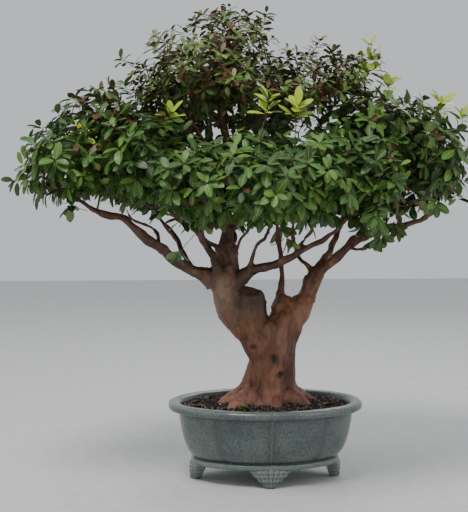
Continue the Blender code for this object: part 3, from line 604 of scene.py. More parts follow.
# Shoots of new growth: spray, foot measured from the pot's middle (x, y, z), height, tiers of leaves
YOUNG_SHOOTS = (
    ("foliage_right", 0.218, -0.050, 0.890, 0.085, 3), ("foliage_right", 0.268, -0.030, 0.870, 0.020, 1),
    ("foliage_far_right", 0.386, -0.030, 0.815, 0.040, 2), ("foliage_far_right", 0.436, -0.050, 0.800, 0.018, 1),
    ("foliage_front", -0.022, -0.200, 0.800, 0.045, 2), ("foliage_front", 0.040, -0.210, 0.795, 0.035, 2),
    ("foliage_far_left", -0.405, -0.110, 0.765, 0.012, 1), ("foliage_left", -0.220, -0.140, 0.800, 0.015, 1),
    ("foliage_back_right", 0.300, 0.200, 0.800, 0.040, 2), ("foliage_back_left", -0.240, 0.220, 0.800, 0.030, 2),
)
YOUNG_REACH = 0.012


def young_tips(node):
    """Tips of a spray's new shoots, one above the other."""
    places, ways = [], []
    for name, x, y, z, height, tiers in YOUNG_SHOOTS:
        for tier in range(tiers if name == node else 0):
            rise = height * (tier + 1) / tiers
            places.append(np.array([POT_X + x + 0.15 * rise, POT_Y + y, z + rise]))
            ways.append(unit(np.array([0.10, -0.55 if y < 0 else 0.55, 0.85])))
    return places, ways


YOUNG_PLACES = [p for node in SPRAYS for p in young_tips(node)[0]]


def is_young(place):
    return min(np.linalg.norm(p - place) for p in YOUNG_PLACES) < YOUNG_REACH


def rosette(tip, way, crown, out, rng):
    """Leaves round one shoot tip, added to the lists in out."""
    young = is_young(tip)
    side = unit(np.cross(way, (0.2, 0.9, 0.4) if abs(way[2]) > 0.8 else (0.0, 0.0, 1.0)))
    other = np.cross(way, side)
    size = rng.uniform(0.021, 0.029) if crown else rng.uniform(0.034, 0.043)
    if young:
        size = rng.uniform(0.038, 0.046)
    low = np.clip((0.80 - tip[2]) / 0.20, 0, 1) * (not crown)
    count = int(rng.integers(6, 9))
    start = rng.uniform(0, 2 * math.pi)
    for i in range(count):
        turn = start + i * 2.4 + rng.normal(0, 0.25)
        level = i / count
        spread = math.radians(rng.uniform(74, 98) - 44 * level) * (0.72 if young else 1.0)
        round_way = side * math.cos(turn) + other * math.sin(turn)
        along = way * math.cos(spread) + round_way * math.sin(spread)
        hang = -0.10 - (0.55 * low if not young else 0.0)
        along = unit(along + np.array([0, 0, hang]) + rng.normal(0, 0.10, 3))
        up = unit(way * (0.8 + 0.5 * low) + np.array([0, 0, 0.70]) - round_way * 0.25 + rng.normal(0, 0.15, 3))
        if abs(np.dot(up, along)) > 0.93:
            up = unit(up - along * np.dot(up, along) + side * 0.3)
        length = size * rng.uniform(0.78, 1.12) * (1.0 - 0.26 * level)
        colour, bronze = leaf_colour_at(tip, crown, young, rng)
        put_leaf(
            out, base=tip + way * (0.012 * (level - 0.8)) + along * 0.003, along=along, up=up, length=length,
            width=length * rng.uniform(0.43, 0.53), droop=rng.uniform(0.05, 0.30),
            fold=rng.uniform(0.02, 0.30), twist=rng.normal(0, 0.12), colour=colour, bronze=bronze,
        )


def make_foliage():
    """Every spray's twigs and leaves. The twigs start inside the wood, at the CAD body's corners."""
    wood = NODES["trunk_and_limbs"].data
    points, normals = points_of(wood), normals_of(wood)
    high = points[:, 2] > 0.50
    points, normals = points[high], np.round(normals[high], 3)
    starts = points + crooked(points) - normals * 0.0015
    twigs = Twigs(starts, unit(normals * 0.6 + np.array([0, 0, 0.5])))
    top, under = leaf_materials()
    tips = {}
    for node in SPRAYS:
        places, ways = spray_tips(node)
        new_places, new_ways = young_tips(node)
        tips[node] = (list(places) + new_places, list(ways) + new_ways)
    order = [(node, i) for node in SPRAYS for i in range(len(tips[node][0]))]
    start = twigs.place.copy()
    far = [np.min(np.linalg.norm(start - tips[n][0][i], axis=1)) for n, i in order]
    for rank in np.argsort(far):
        node, i = order[rank]
        twigs.grow(tips[node][0][i], tips[node][1][i], draws(2, SPRAYS.index(node), i))
    total = 0
    for node in SPRAYS:
        out = blank_leaves()
        rng = draws(3, SPRAYS.index(node))
        for tip, way in zip(*tips[node]):
            rosette(tip, way, node in CROWN_SPRAYS, out, rng)
        leaves = {k: np.array(v) for k, v in out.items()}
        piece = build_leaves(node.replace("foliage", "leaves"), leaves, (top, under))
        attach(piece, "root")
        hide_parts(node)
        total += len(leaves["base"])
    piece = add_object("twigs", twigs.mesh("twigs"), twig_material())
    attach(piece, "root")
    print("leaves", total, "tips", len(order), "twig faces", len(piece.data.polygons))


# ---- wood ------------------------------------------------------------------------------------------
WOOD_VOXEL = 0.0021
CROOKS = ((0.085, 0.010), (0.034, 0.0062))   # size of the limbs' bends and how far they reach
KNOTS = (  # hollows in the bark, from the pot's middle: (x, z, radius, depth)
    (0.012, 0.2775, 0.0085, 0.0040), (0.030, 0.2390, 0.0080, 0.0032), (-0.030, 0.3030, 0.0060, 0.0022),
    (0.060, 0.2860, 0.0050, -0.0030),
)


def crooked(points):
    """How far the limbs bend away from their even course at each point; the trunk stays as it is."""
    moved = np.zeros((len(points), 3))
    for size_of_bend, reach in CROOKS:
        bend = np.array([noise.noise_vector(Vector(p) / size_of_bend)[:] for p in points])
        moved += bend * (reach * soft_step(points[:, 2], 0.43, 0.53))[:, None]
    return moved


def wood_thickness(source, places):
    """Wood behind each place, measured through the CAD body and evened out between its corners."""
    points, normals = points_of(source), normals_of(source)
    body = BVHTree.FromPolygons([tuple(p) for p in points], [tuple(f.vertices) for f in source.polygons])
    corners = KDTree(len(points))
    thick = np.full(len(points), 0.1)
    for i, (p, n) in enumerate(zip(points, normals)):
        corners.insert(Vector(p), i)
        hit = body.ray_cast(Vector(p - n * 0.0008), Vector(-n), 0.12)
        if hit[0] is not None:
            thick[i] = hit[3]
    corners.balance()
    near = [corners.find_n(Vector(p), 6) for p in places]
    return np.array([
        sum(thick[i] / (gap + 0.001) for _, i, gap in found) / sum(1 / (gap + 0.001) for _, i, gap in found)
        for found in near
    ])


def make_wood():
    source = NODES["trunk_and_limbs"].data
    wood = add_object("wood", source.copy())
    wood.data.materials.clear()
    remesh = wood.modifiers.new("remesh", "REMESH")
    remesh.mode = "VOXEL"
    remesh.voxel_size = WOOD_VOXEL
    smooth = wood.modifiers.new("smooth", "SMOOTH")
    smooth.iterations = 7
    mesh = evaluated_mesh(wood)
    points, normals = points_of(mesh), normals_of(mesh)
    size = np.clip(wood_thickness(source, points) / 0.075, 0.05, 1.0)
    push = np.zeros(len(points))
    relief_shading = np.zeros(len(points))
    for i, p in enumerate(points):
        flute = fractal((p[0] * 1.0, p[1] * 1.0, p[2] * 0.28), 0.024, 3)
        lump = fractal(p, 0.050, 2)
        knob = max(0.0, fractal((p[0], p[1], p[2] + 3.0), 0.021, 2) - 0.12)
        flake = fractal((p[0], p[1], p[2] * 0.5), 0.007, 3)
        push[i] = size[i] * (0.0024 * flute + 0.0034 * lump) + 0.00050 * flake * min(1, size[i] * 2)
        push[i] += 0.0055 * knob * min(1, size[i] * 2.2) * (p[2] > 0.40)
        # Painted shade in the hollows and painted highlight on the raised bark: this share follows the flute and
        # flake noise that moves the surface, and the knots below
        relief_shading[i] = 0.5 + 0.35 * flute + 0.25 * flake
    front = normals[:, 1] < -0.2
    for x, z, radius, depth in KNOTS:
        away = np.hypot(points[:, 0] - POT_X - x, points[:, 2] - z) / radius
        dent = np.exp(-away ** 2) * depth - 0.45 * depth * np.exp(-(away - 1.5) ** 2 * 3)
        push[front] -= dent[front]
        relief_shading[front] -= (np.exp(-away ** 2) * 0.8 * np.sign(depth))[front]
    moved = points + normals * push[:, None]
    moved += crooked(points)
    mesh.vertices.foreach_set("co", moved.astype(np.float32).ravel())
    mesh.update()
    regions = wood_regions(points, normals, size)
    for name, values in (("relief_shading", np.clip(relief_shading, 0, 1)), ("thick", np.clip(size, 0, 1)), *regions):
        attribute = mesh.attributes.new(name, "FLOAT", "POINT")
        attribute.data.foreach_set("value", values.astype(np.float32))
    mesh.materials.append(bark_material())
    mesh.shade_smooth()
    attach(wood, "root")
    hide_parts("trunk_and_limbs")
    return wood


def soft_step(values, low, high):
    return np.clip((values - low) / (high - low), 0, 1)


def wood_regions(points, normals, size):
    """Shares of the pink base, the pink ridge, the pale left column, the dark stump and the dark limbs at each
    point; the limbs' share is partly their own darker bark and partly painted shade, and the shaded share is
    painted shade under the limbs.
    """
    x, y, z = points[:, 0] - POT_X, points[:, 1] - POT_Y, points[:, 2]
    blur = np.array([fractal(p, 0.030, 3) for p in points]) * 0.018
    base = soft_step(z + blur, 0.262, 0.190)
    ridge = soft_step(z + blur * 0.6, 0.215, 0.180) * soft_step(x + blur, 0.02, -0.05)
    column = soft_step(x + blur, -0.055, -0.072) * soft_step(z + blur, 0.345, 0.385) * soft_step(z, 0.62, 0.54)
    stump = soft_step(x + blur, -0.078, -0.062) * soft_step(x, 0.012, 0.002) * soft_step(y + blur, 0.022, 0.002)
    stump = stump * soft_step(z + blur, 0.350, 0.392) * soft_step(z, 0.53, 0.47)
    limbs = soft_step(z + blur, 0.440, 0.500) * soft_step(size, 0.75, 0.40)
    # Painted shade: the dark limb share fades where the bark faces up, so the limbs' undersides stay darker
    limbs = limbs * (1 - 0.60 * soft_step(normals[:, 2] + blur * 12, 0.15, 0.80))
    shaded = soft_step(-normals[:, 2], 0.0, 0.8) * soft_step(z, 0.42, 0.47)
    return (("base", base), ("ridge", ridge), ("column", column), ("stump", stump),
            ("limbs", np.clip(limbs, 0, 1)), ("shaded", shaded))


def bark_material():
    bark = Shader("cinnamon_bark")
    stretched = bark.coords((1.0, 1.0, 0.35))
    relief_shading = bark.attribute("relief_shading", "Fac")
    patches = bark.noise(26.0, 4.0, 0.6, stretched, 0.6)
    fine = bark.noise(150.0, 4.0, 0.65, stretched)
    specks = bark.noise(520.0, 3.0, 0.7)
    colour = bark.ramp(
        patches, (0.30, (0.062, 0.022, 0.012)), (0.43, (0.125, 0.046, 0.022)),
        (0.54, (0.190, 0.076, 0.036)), (0.66, (0.235, 0.110, 0.060)), (0.76, (0.150, 0.085, 0.052)),
    )
    ochre = bark.ramp(bark.noise(14.0, 3.0, 0.5, None, 0.4), (0.48, 0.0), (0.66, 1.0))
    colour = bark.mix(bark.math("MULTIPLY", ochre, 0.45), colour, (0.240, 0.100, 0.026))
    pink = bark.ramp(patches, (0.35, (0.150, 0.050, 0.032)), (0.6, (0.360, 0.150, 0.098)))
    colour = bark.mix(bark.math("MULTIPLY", bark.attribute("base", "Fac"), 0.55), colour, pink)
    colour = bark.mix(bark.math("MULTIPLY", bark.attribute("ridge", "Fac"), 0.75), colour, (0.420, 0.170, 0.115))
    olive = bark.ramp(patches, (0.38, (0.140, 0.052, 0.036)), (0.5, (0.165, 0.098, 0.055)),
                      (0.68, (0.215, 0.150, 0.098)))
    colour = bark.mix(bark.math("MULTIPLY", bark.attribute("column", "Fac"), 0.85), colour, olive)
    dark = bark.ramp(patches, (0.35, (0.030, 0.014, 0.009)), (0.65, (0.082, 0.040, 0.024)))
    colour = bark.mix(bark.math("MULTIPLY", bark.attribute("stump", "Fac"), 0.88), colour, dark)
    limb = bark.ramp(patches, (0.32, (0.040, 0.016, 0.010)), (0.5, (0.095, 0.036, 0.022)),
                     (0.68, (0.200, 0.088, 0.052)))
    # Dark limbs: partly their own darker bark, partly painted shade on their undersides
    colour = bark.mix(bark.math("MULTIPLY", bark.attribute("limbs", "Fac"), 0.90), colour, limb)
    colour = bark.mix(bark.math("MULTIPLY", bark.attribute("shaded", "Fac"), 0.60), colour, (0.020, 0.011, 0.008))
    colour = bark.mix(1.0, colour, bark.ramp(fine, (0.25, 0.58), (0.75, 1.36)), "MULTIPLY")
    colour = bark.mix(1.0, colour, bark.ramp(specks, (0.3, 0.78), (0.7, 1.18)), "MULTIPLY")
    # Painted shade in the bark's grooves and knot hollows, painted highlight on its raised parts
    colour = bark.mix(1.0, colour, bark.ramp(relief_shading, (0.05, 0.28), (0.45, 0.95), (0.9, 1.30)), "MULTIPLY")
    bark.set("Base Color", colour)
    bark.set("Roughness", bark.ramp(fine, (0.3, 0.48), (0.7, 0.68)))
    height = bark.math("ADD", bark.math("MULTIPLY", fine, 1.0), bark.math("MULTIPLY", specks, 0.35))
    bark.set("Normal", bark.bump(height, 0.0016, 0.6))
    return bark.material


# ---- pot -------------------------------------------------------------------------------------------
RIM_LENGTH, RIM_DEPTH = 0.447, 0.350
CREASES = (0.0, 38.0, 90.0, 142.0, 180.0, 218.0, 270.0, 322.0, 360.0)
STEPS_PER_LOBE = 44
POT_PROFILE = (  # inset from the rim's outer edge, height, depth of the creases as a share
    (0.0780, 0.0400, 0.020), (0.0620, 0.0386, 0.022), (0.0548, 0.0402, 0.024), (0.0516, 0.0455, 0.024),
    (0.0534, 0.0512, 0.024), (0.0575, 0.0540, 0.030), (0.0500, 0.0602, 0.036), (0.0425, 0.0700, 0.041),
    (0.0360, 0.0830, 0.044), (0.0300, 0.1020, 0.045), (0.0255, 0.1240, 0.042), (0.0225, 0.1440, 0.037),
    (0.0226, 0.1560, 0.030), (0.0190, 0.1588, 0.024), (0.0080, 0.1592, 0.018), (0.0014, 0.1630, 0.016),
    (0.0000, 0.1690, 0.016), (0.0028, 0.1752, 0.015), (0.0100, 0.1784, 0.014), (0.0195, 0.1780, 0.014),
    (0.0262, 0.1745, 0.014), (0.0300, 0.1680, 0.015), (0.0340, 0.1500, 0.020), (0.0400, 0.1100, 0.025),
    (0.0480, 0.0800, 0.025), (0.0640, 0.0580, 0.020), (0.0860, 0.0525, 0.012),
)
PROFILE_STEPS = 5
FOOT_PROFILE = (  # height, half width, reach of the face, reach of the back
    (0.0465, 0.0440, -0.0040, -0.0340), (0.0385, 0.0465, -0.0015, -0.0350), (0.0350, 0.0455, 0.0005, -0.0340),
    (0.0310, 0.0400, -0.0010, -0.0330), (0.0265, 0.0375, 0.0010, -0.0320), (0.0215, 0.0295, -0.0005, -0.0300),
    (0.0165, 0.0275, 0.0010, -0.0285), (0.0115, 0.0190, -0.0010, -0.0265), (0.0065, 0.0170, 0.0000, -0.0250),
    (0.0025, 0.0135, -0.0010, -0.0230), (0.0000, 0.0110, -0.0030, -0.0210),
)
FOOT_INSET = 0.0520
FOOT_FLUTES = 7
DRAIN_HOLES = ((-0.078, 0.012), (0.078, 0.012))


def refined(levels, steps):
    """Extra levels between the given ones, along a smooth curve that doesn't overshoot."""
    table = np.array(levels)
    slopes = np.gradient(table, axis=0) * 0.8
    out = []
    for i in range(len(table) - 1):
        for k in range(steps):
            t = k / steps
            h = (2 * t ** 3 - 3 * t * t + 1, t ** 3 - 2 * t * t + t, -2 * t ** 3 + 3 * t * t, t ** 3 - t * t)
            out.append(h[0] * table[i] + h[1] * slopes[i] + h[2] * table[i + 1] + h[3] * slopes[i + 1])
    out.append(table[-1])
    return out


def pot_outline(inset, crease_depth):
    """One level of the pot: an oval pinched inwards at each crease and full between them."""
    ring = []
    for start, end in zip(CREASES, CREASES[1:]):
        for step in range(STEPS_PER_LOBE):
            share = step / STEPS_PER_LOBE
            angle = math.radians(start + (end - start) * share)
            swell = 1.0 - crease_depth * (1.0 - math.sin(math.pi * share) ** 0.70)
            ring.append((
                (RIM_LENGTH / 2 - inset) * swell * math.sin(angle),
                -(RIM_DEPTH / 2 - inset) * swell * math.cos(angle),
            ))
    return ring


def lofted(name, rings):
    bm = bmesh.new()
    rows = [[bm.verts.new(p) for p in ring] for ring in rings]
    for lower, upper in zip(rows, rows[1:]):
        for i in range(len(lower)):
            j = (i + 1) % len(lower)
            bm.faces.new((lower[i], lower[j], upper[j], upper[i]))
    bm.faces.new(rows[0][::-1])
    bm.faces.new(rows[-1])
    bmesh.ops.recalc_face_normals(bm, faces=bm.faces)
    mesh = bpy.data.meshes.new(name)
    bm.to_mesh(mesh)
    bm.free()
    return add_object(name, mesh)


def pot_foot(direction, reach):
    """A scalloped bracket foot with a fluted shell on its face."""
    rings = []
    for height, half_width, face, back in refined(FOOT_PROFILE, 4):
        height = max(height, 0.0)
        ring = [(-0.90, back), (-0.97, back * 0.6), (-1.00, face - 0.012)]
        for k in range(1, 56):
            u = -1.0 + 2.0 * k / 56
            flute = abs(math.cos(math.pi * FOOT_FLUTES * 0.5 * u)) ** 0.7
            ring.append((u, face - 0.0105 * abs(u) ** 3 - 0.0022 * (1 - flute) + 0.0015 * (abs(u) < 0.14)))
        ring += [(1.00, face - 0.012), (0.97, back * 0.6), (0.90, back)]
        rings.append([(reach + v, -u * half_width, height) for u, v in ring])
    foot = lofted("pot_foot", rings)
    foot.data.transform(Matrix.Rotation(math.radians(direction), 4, "Z"))
    return foot


def combine(obj, other, operation):
    modifier = obj.modifiers.new("cut", "BOOLEAN")
    modifier.operation = operation
    modifier.object = other
    evaluated_mesh(obj)
    bpy.data.objects.remove(other)


def make_pot():
    rings = [
        [(x, y, height) for x, y in pot_outline(inset, crease)]
        for inset, height, crease in refined(POT_PROFILE, PROFILE_STEPS)
    ]
    pot = lofted("glazed_pot", rings)
    end_reach, side_reach = RIM_LENGTH / 2 - FOOT_INSET, RIM_DEPTH / 2 - FOOT_INSET
    for direction, reach in ((0, end_reach), (90, side_reach), (180, end_reach), (270, side_reach)):
        combine(pot, pot_foot(direction, reach), "UNION")
    for x, radius in DRAIN_HOLES:
        bm = bmesh.new()
        bmesh.ops.create_cone(bm, cap_ends=True, segments=48, radius1=radius, radius2=radius, depth=0.05)
        mesh = bpy.data.meshes.new("drain")
        bm.to_mesh(mesh)
        mesh.transform(Matrix.Translation((x, 0.0, 0.046)))
        combine(pot, add_object("drain", mesh), "DIFFERENCE")
    mesh = pot.data
    points, normals = points_of(mesh), normals_of(mesh)
    angle = np.degrees(np.arctan2(points[:, 0] / RIM_LENGTH, -points[:, 1] / RIM_DEPTH)) % 360
    off = np.min(np.abs(angle[:, None] - np.array(CREASES)[None]), axis=1)
    z = points[:, 2]
    wall = np.clip((z - 0.054) / 0.004, 0, 1) * np.clip((0.158 - z) / 0.004, 0, 1)
    front_or_back = np.minimum(np.minimum(angle, 360 - angle), np.abs(angle - 180))
    # Painted highlight: a thin pale line down the front and back creases
    line = np.exp(-(front_or_back / 0.45) ** 2) * wall * 0.6
    # Darker in the creases, under the rim and in the groove above the feet: partly the glaze pooling thicker
    # there, partly painted shade
    pooled_glaze_and_shade = np.exp(-(off / 4.0) ** 2) * wall * 0.75
    pooled_glaze_and_shade += np.exp(-((z - 0.157) / 0.004) ** 2) + np.exp(-((z - 0.0555) / 0.003) ** 2)
    # Paler on the rim's top band, on the feet and along the crease line: partly the glaze thinning on edges,
    # partly painted highlight on the rim and the creases
    pale = np.exp(-((z - 0.1765) / 0.0045) ** 2) * 0.8 + np.clip((0.0535 - z) / 0.003, 0, 1) * 0.7 + line
    wobble = np.array([fractal(p, 0.045, 2) for p in points])
    moved = points + normals * (wobble * 0.0006)[:, None]
    moved[:, 2] = np.where(z < 0.003, z, moved[:, 2])
    mesh.vertices.foreach_set("co", moved.astype(np.float32).ravel())
    for name, values in (("pale", np.clip(pale, 0, 1)), ("pooled_glaze_and_shade", np.clip(pooled_glaze_and_shade, 0, 1))):
        attribute = mesh.attributes.new(name, "FLOAT", "POINT")
        attribute.data.foreach_set("value", values.astype(np.float32))
    mesh.transform(Matrix.Translation((POT_X, POT_Y, 0.0)))
    mesh.materials.clear()
    mesh.materials.append(glaze_material())
    mesh.shade_smooth()
    mesh.set_sharp_from_angle(angle=math.radians(50))
    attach(pot, "root")
    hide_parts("pot")


def glaze_material():
    glaze = Shader("celadon_glaze")
    clouds = glaze.noise(16.0, 3.0, 0.6)
    speckle = glaze.noise(330.0, 2.0, 0.7)
    crackle = glaze.voronoi(300.0, "DISTANCE_TO_EDGE")
    colour = glaze.ramp(
        clouds, (0.30, (0.050, 0.072, 0.070)), (0.50, (0.082, 0.110, 0.108)), (0.70, (0.115, 0.135, 0.122))
    )
    warm = glaze.ramp(glaze.noise(9.0, 2.0), (0.55, 0.0), (0.75, 0.5))
    colour = glaze.mix(warm, colour, (0.110, 0.100, 0.085))
    colour = glaze.mix(1.0, colour, glaze.ramp(speckle, (0.32, 0.40), (0.50, 1.0), (0.68, 1.75)), "MULTIPLY")
    colour = glaze.mix(1.0, colour, glaze.ramp(crackle, (0.0, 0.80), (0.12, 1.0)), "MULTIPLY")
    # Partly glaze pooling, partly painted shade in the creases, under the rim and above the feet
    pooled_glaze_and_shade = glaze.math("MULTIPLY", glaze.attribute("pooled_glaze_and_shade", "Fac"), 0.70)
    colour = glaze.mix(pooled_glaze_and_shade, colour, (0.022, 0.036, 0.036))
    # Partly paler glaze on edges, partly painted highlight on the rim's top and the crease line
    pale = glaze.math("MULTIPLY", glaze.attribute("pale", "Fac"), 0.55)
    colour = glaze.mix(pale, colour, (0.210, 0.250, 0.230))
    glaze.set("Base Color", colour)
    glaze.set("Roughness", glaze.ramp(clouds, (0.3, 0.20), (0.7, 0.36)))
    glaze.set("Specular IOR Level", 0.55)
    glaze.set("Coat Weight", 0.25)
    glaze.set("Coat Roughness", 0.12)
    pits = glaze.math("ADD", glaze.math("MULTIPLY", speckle, 0.5), glaze.noise(60.0, 3.0))
    glaze.set("Normal", glaze.bump(pits, 0.0012, 0.5))
    return glaze.material


# ---- soil ------------------------------------------------------------------------------------------
SOIL_EDGE, SOIL_MOUND, SOIL_INSET = 0.1660, 0.0150, 0.0318
SOIL_RINGS, SOIL_SIDES = 46, 8 * STEPS_PER_LOBE
GRAINS = 6200
GRAIN_COLOURS = (
    ((0.020, 0.014, 0.012), 0.46), ((0.055, 0.034, 0.024), 0.22), ((0.090, 0.060, 0.042), 0.12),
    ((0.130, 0.120, 0.115), 0.09), ((0.230, 0.160, 0.130), 0.05), ((0.300, 0.285, 0.270), 0.03),
    ((0.120, 0.045, 0.030), 0.03),
)


def soil_level(x, y):
    half_length, half_depth = RIM_LENGTH / 2 - SOIL_INSET, RIM_DEPTH / 2 - SOIL_INSET
    share = min(1.0, math.hypot(x / half_length, y / half_depth))
    return SOIL_EDGE + SOIL_MOUND * (1.0 - share * share)


def icosahedron():
    bm = bmesh.new()
    bmesh.ops.create_icosphere(bm, subdivisions=1, radius=1.0)
    points = np.array([v.co[:] for v in bm.verts])
    faces = np.array([[v.index for v in f.verts] for f in bm.faces])
    bm.free()
    return points, faces


def random_turns(count, rng):
    q = unit(rng.normal(size=(count, 4)))
    w, x, y, z = q.T
    return np.stack([
        np.stack([1 - 2 * (y * y + z * z), 2 * (x * y - z * w), 2 * (x * z + y * w)], 1),
        np.stack([2 * (x * y + z * w), 1 - 2 * (x * x + z * z), 2 * (y * z - x * w)], 1),
        np.stack([2 * (x * z - y * w), 2 * (y * z + x * w), 1 - 2 * (x * x + y * y)], 1),
    ], 1)


def make_grains(wood_tree):
    """Loose granules over the soil, with a little light grit, as closed many-sided grains."""
    ball, faces = icosahedron()
    rng = draws(4)
    angle, share = rng.uniform(0, 2 * math.pi, GRAINS), np.sqrt(rng.random(GRAINS)) * 0.97
    size = rng.uniform(0.0011, 0.0029, GRAINS) * np.where(rng.random(GRAINS) < 0.12, 1.35, 1.0)
    sink = rng.uniform(-0.1, 0.8, GRAINS)
    x = (RIM_LENGTH / 2 - SOIL_INSET) * share * np.sin(angle)
    y = (RIM_DEPTH / 2 - SOIL_INSET) * share * np.cos(angle)
    level = np.array([soil_level(*place) for place in zip(x, y)])
    spots = np.stack([POT_X + x, POT_Y + y, level + size * sink], 1)
    clear = np.zeros(GRAINS, bool)
    for i, spot in enumerate(spots):
        place, out, _, gap = wood_tree.find_nearest(Vector(spot), 0.02)
        clear[i] = place is None or (gap > size[i] * 0.8 and (Vector(spot) - place).dot(out) > 0)
    shape = ball[None] * rng.uniform(0.72, 1.28, (GRAINS, len(ball), 1)) * rng.uniform(0.6, 1.25, (GRAINS, 1, 3))
    points = np.einsum("nij,nvj->nvi", random_turns(GRAINS, rng), shape) * size[:, None, None]
    points = (points + spots[:, None, :])[clear]
    colours = np.array([c for c, _ in GRAIN_COLOURS])
    odds = np.array([o for _, o in GRAIN_COLOURS])
    chosen = colours[rng.choice(len(colours), GRAINS, p=odds / odds.sum())] * rng.uniform(0.7, 1.3, (GRAINS, 1))
    chosen = chosen[clear]
    count = len(points)
    colour = np.ones((count, len(ball), 4))
    colour[:, :, :3] = chosen[:, None]
    first = (np.arange(count) * len(ball))[:, None, None]
    corners = (first + faces[None]).reshape(-1, 3)
    side = math.ceil(math.sqrt(count))
    cell = np.stack([np.arange(count) % side, np.arange(count) // side], 1)[:, None, None, :]
    k = np.arange(len(faces))
    place = np.stack([k % 5 / 5, k // 5 / (len(faces) // 5)], 1)[None, :, None, :]
    corner = np.array([(0.02, 0.02), (0.16, 0.02), (0.02, 0.16)])[None, None]
    uv = ((cell + place + corner) / side).reshape(-1, 2)
    return mesh_from_arrays(
        "grains", points.reshape(-1, 3), [corners], uvs={"OFBake": uv},
        colours={"grain_colour": colour.reshape(-1, 4)},
    )


def make_soil(wood_tree):
    """The potting mix: a new lofted body with a lumpy top in place of the CAD soil, and grains lying on it."""
    outline = np.array(pot_outline(SOIL_INSET, 0.015))
    rings = []
    for share, sink in ((0.97, 0.020), (0.995, 0.004)):
        rings.append([(x * share, y * share, SOIL_EDGE - sink) for x, y in outline])
    for i in range(SOIL_RINGS):
        share = 1.0 - i / SOIL_RINGS * 0.985
        ring = []
        for x, y in outline * share:
            lump = 0.0016 * fractal((x, y, 0.0), 0.018, 3) + 0.0009 * fractal((x, y, 5.0), 0.005, 2)
            ring.append((x, y, soil_level(x, y) + lump - 0.0006))
        rings.append(ring)
    soil = lofted("potting_mix", rings)
    soil.data.transform(Matrix.Translation((POT_X, POT_Y, 0.0)))
    mix = Shader("potting_mix")
    crumbs = mix.noise(260.0, 4.0, 0.7)
    mix.set("Base Color", mix.ramp(crumbs, (0.35, (0.010, 0.007, 0.006)), (0.6, (0.050, 0.032, 0.023)),
                                   (0.75, (0.110, 0.085, 0.070))))
    mix.set("Roughness", 0.92)
    mix.set("Normal", mix.bump(crumbs, 0.003, 1.0))
    soil.data.materials.append(mix.material)
    soil.data.shade_smooth()
    grain = Shader("soil_grain")
    tint = grain.mix(1.0, grain.attribute("grain_colour"), grain.ramp(grain.noise(500.0), (0.3, 0.7), (0.7, 1.3)),
                     "MULTIPLY")
    grain.set("Base Color", tint)
    grain.set("Roughness", 0.85)
    grain.set("Normal", grain.bump(grain.noise(900.0, 2.0), 0.0004, 0.8))
    grains = add_object("soil_grains", make_grains(wood_tree), grain.material)
    for piece in (soil, grains):
        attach(piece, "root")
        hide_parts("soil")


# ---- litter and weed -------------------------------------------------------------------------------
def blank_leaves():
    keys = ("base", "along", "up", "length", "width", "droop", "fold", "twist", "colour", "bronze")
    return {key: [] for key in keys}


def put_leaf(out, **values):
    for key, value in values.items():
        out[key].append(value)


def dry_material():
    dry = Shader("dry_leaf")
    grain = dry.noise(140.0, 4.0, 0.65)
    tint = dry.mix(1.0, dry.attribute("leaf_colour"), dry.ramp(grain, (0.3, 0.55), (0.7, 1.35)), "MULTIPLY")
    dry.set("Base Color", tint)
    dry.set("Roughness", 0.75)
    dry.set("Normal", dry.bump(grain, 0.0008, 0.8))
    return dry.material


def make_litter():
    rng = draws(5)
    material = dry_material()
    names = sorted(n for n in NODES if n.startswith("fallen_leaf_"))
    for name in names:
        low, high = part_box(name)
        middle = (low + high) / 2
        x, y = middle.x - POT_X, middle.y - POT_Y
        turn = rng.uniform(0, 2 * math.pi)
        along = np.array([math.cos(turn), math.sin(turn), 0.0])
        length = math.hypot(high.x - low.x, high.y - low.y) * 0.86
        start = np.array([middle.x, middle.y, soil_level(x, y) + 0.0022]) - along * length / 2
        out = blank_leaves()
        put_leaf(out, base=start, along=along + np.array([0, 0, 0.05]), up=np.array([0, 0, 1.0]), length=length,
                 width=length * 0.42, droop=0.10, fold=0.55, twist=0.25, bronze=0.0,
                 colour=np.array([0.17, 0.085, 0.045]) * rng.uniform(0.8, 1.3))
        piece = build_leaves("dry_" + name, {k: np.array(v) for k, v in out.items()}, (material, material))
        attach(piece, "root")
        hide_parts(name)


def make_weed():
    low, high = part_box("weed_seedling")
    middle = (low + high) / 2
    green = Shader("weed_green")
    fleck = green.noise(300.0, 2.0)
    tint = green.mix(1.0, green.attribute("leaf_colour"), green.ramp(fleck, (0.3, 0.75), (0.7, 1.25)), "MULTIPLY")
    green.set("Base Color", tint)
    green.set("Roughness", 0.5)
    green.set("Normal", green.bump(fleck, 0.0004, 0.6))
    out = blank_leaves()
    rng = draws(6)
    foot_level = soil_level(middle.x - POT_X, middle.y - POT_Y)
    for i in range(13):
        turn, level = i * 2.4, i / 13
        along = np.array([math.cos(turn), math.sin(turn), 0.15 + 0.9 * level])
        length = 0.0135 * (1.1 - 0.45 * level)
        put_leaf(out, base=np.array([middle.x, middle.y, foot_level + 0.002 + 0.007 * level]), along=along,
                 up=np.array([0, 0, 1.0]), length=length, width=length * 0.62, droop=0.25, fold=0.2, twist=0.0,
                 bronze=0.0, colour=np.array([0.045, 0.20, 0.022]) * rng.uniform(0.8, 1.3))
    leaves = {k: np.array(v) for k, v in out.items()}
    piece = build_leaves("weed", leaves, (green.material, green.material))
    stem = add_object("weed_stem", bpy.data.meshes.new("weed_stem"), green.material)
    bm = bmesh.new()
    bmesh.ops.create_cone(bm, cap_ends=True, segments=10, radius1=0.0014, radius2=0.0008, depth=0.012,
                          matrix=Matrix.Translation((middle.x, middle.y, foot_level + 0.004)))
    bm.to_mesh(stem.data)
    bm.free()
    colour = stem.data.color_attributes.new("leaf_colour", "FLOAT_COLOR", "POINT")
    colour.data.foreach_set("color", [0.08, 0.20, 0.04, 1.0] * len(stem.data.vertices))
    for part in (piece, stem):
        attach(part, "root")
        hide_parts("weed_seedling")


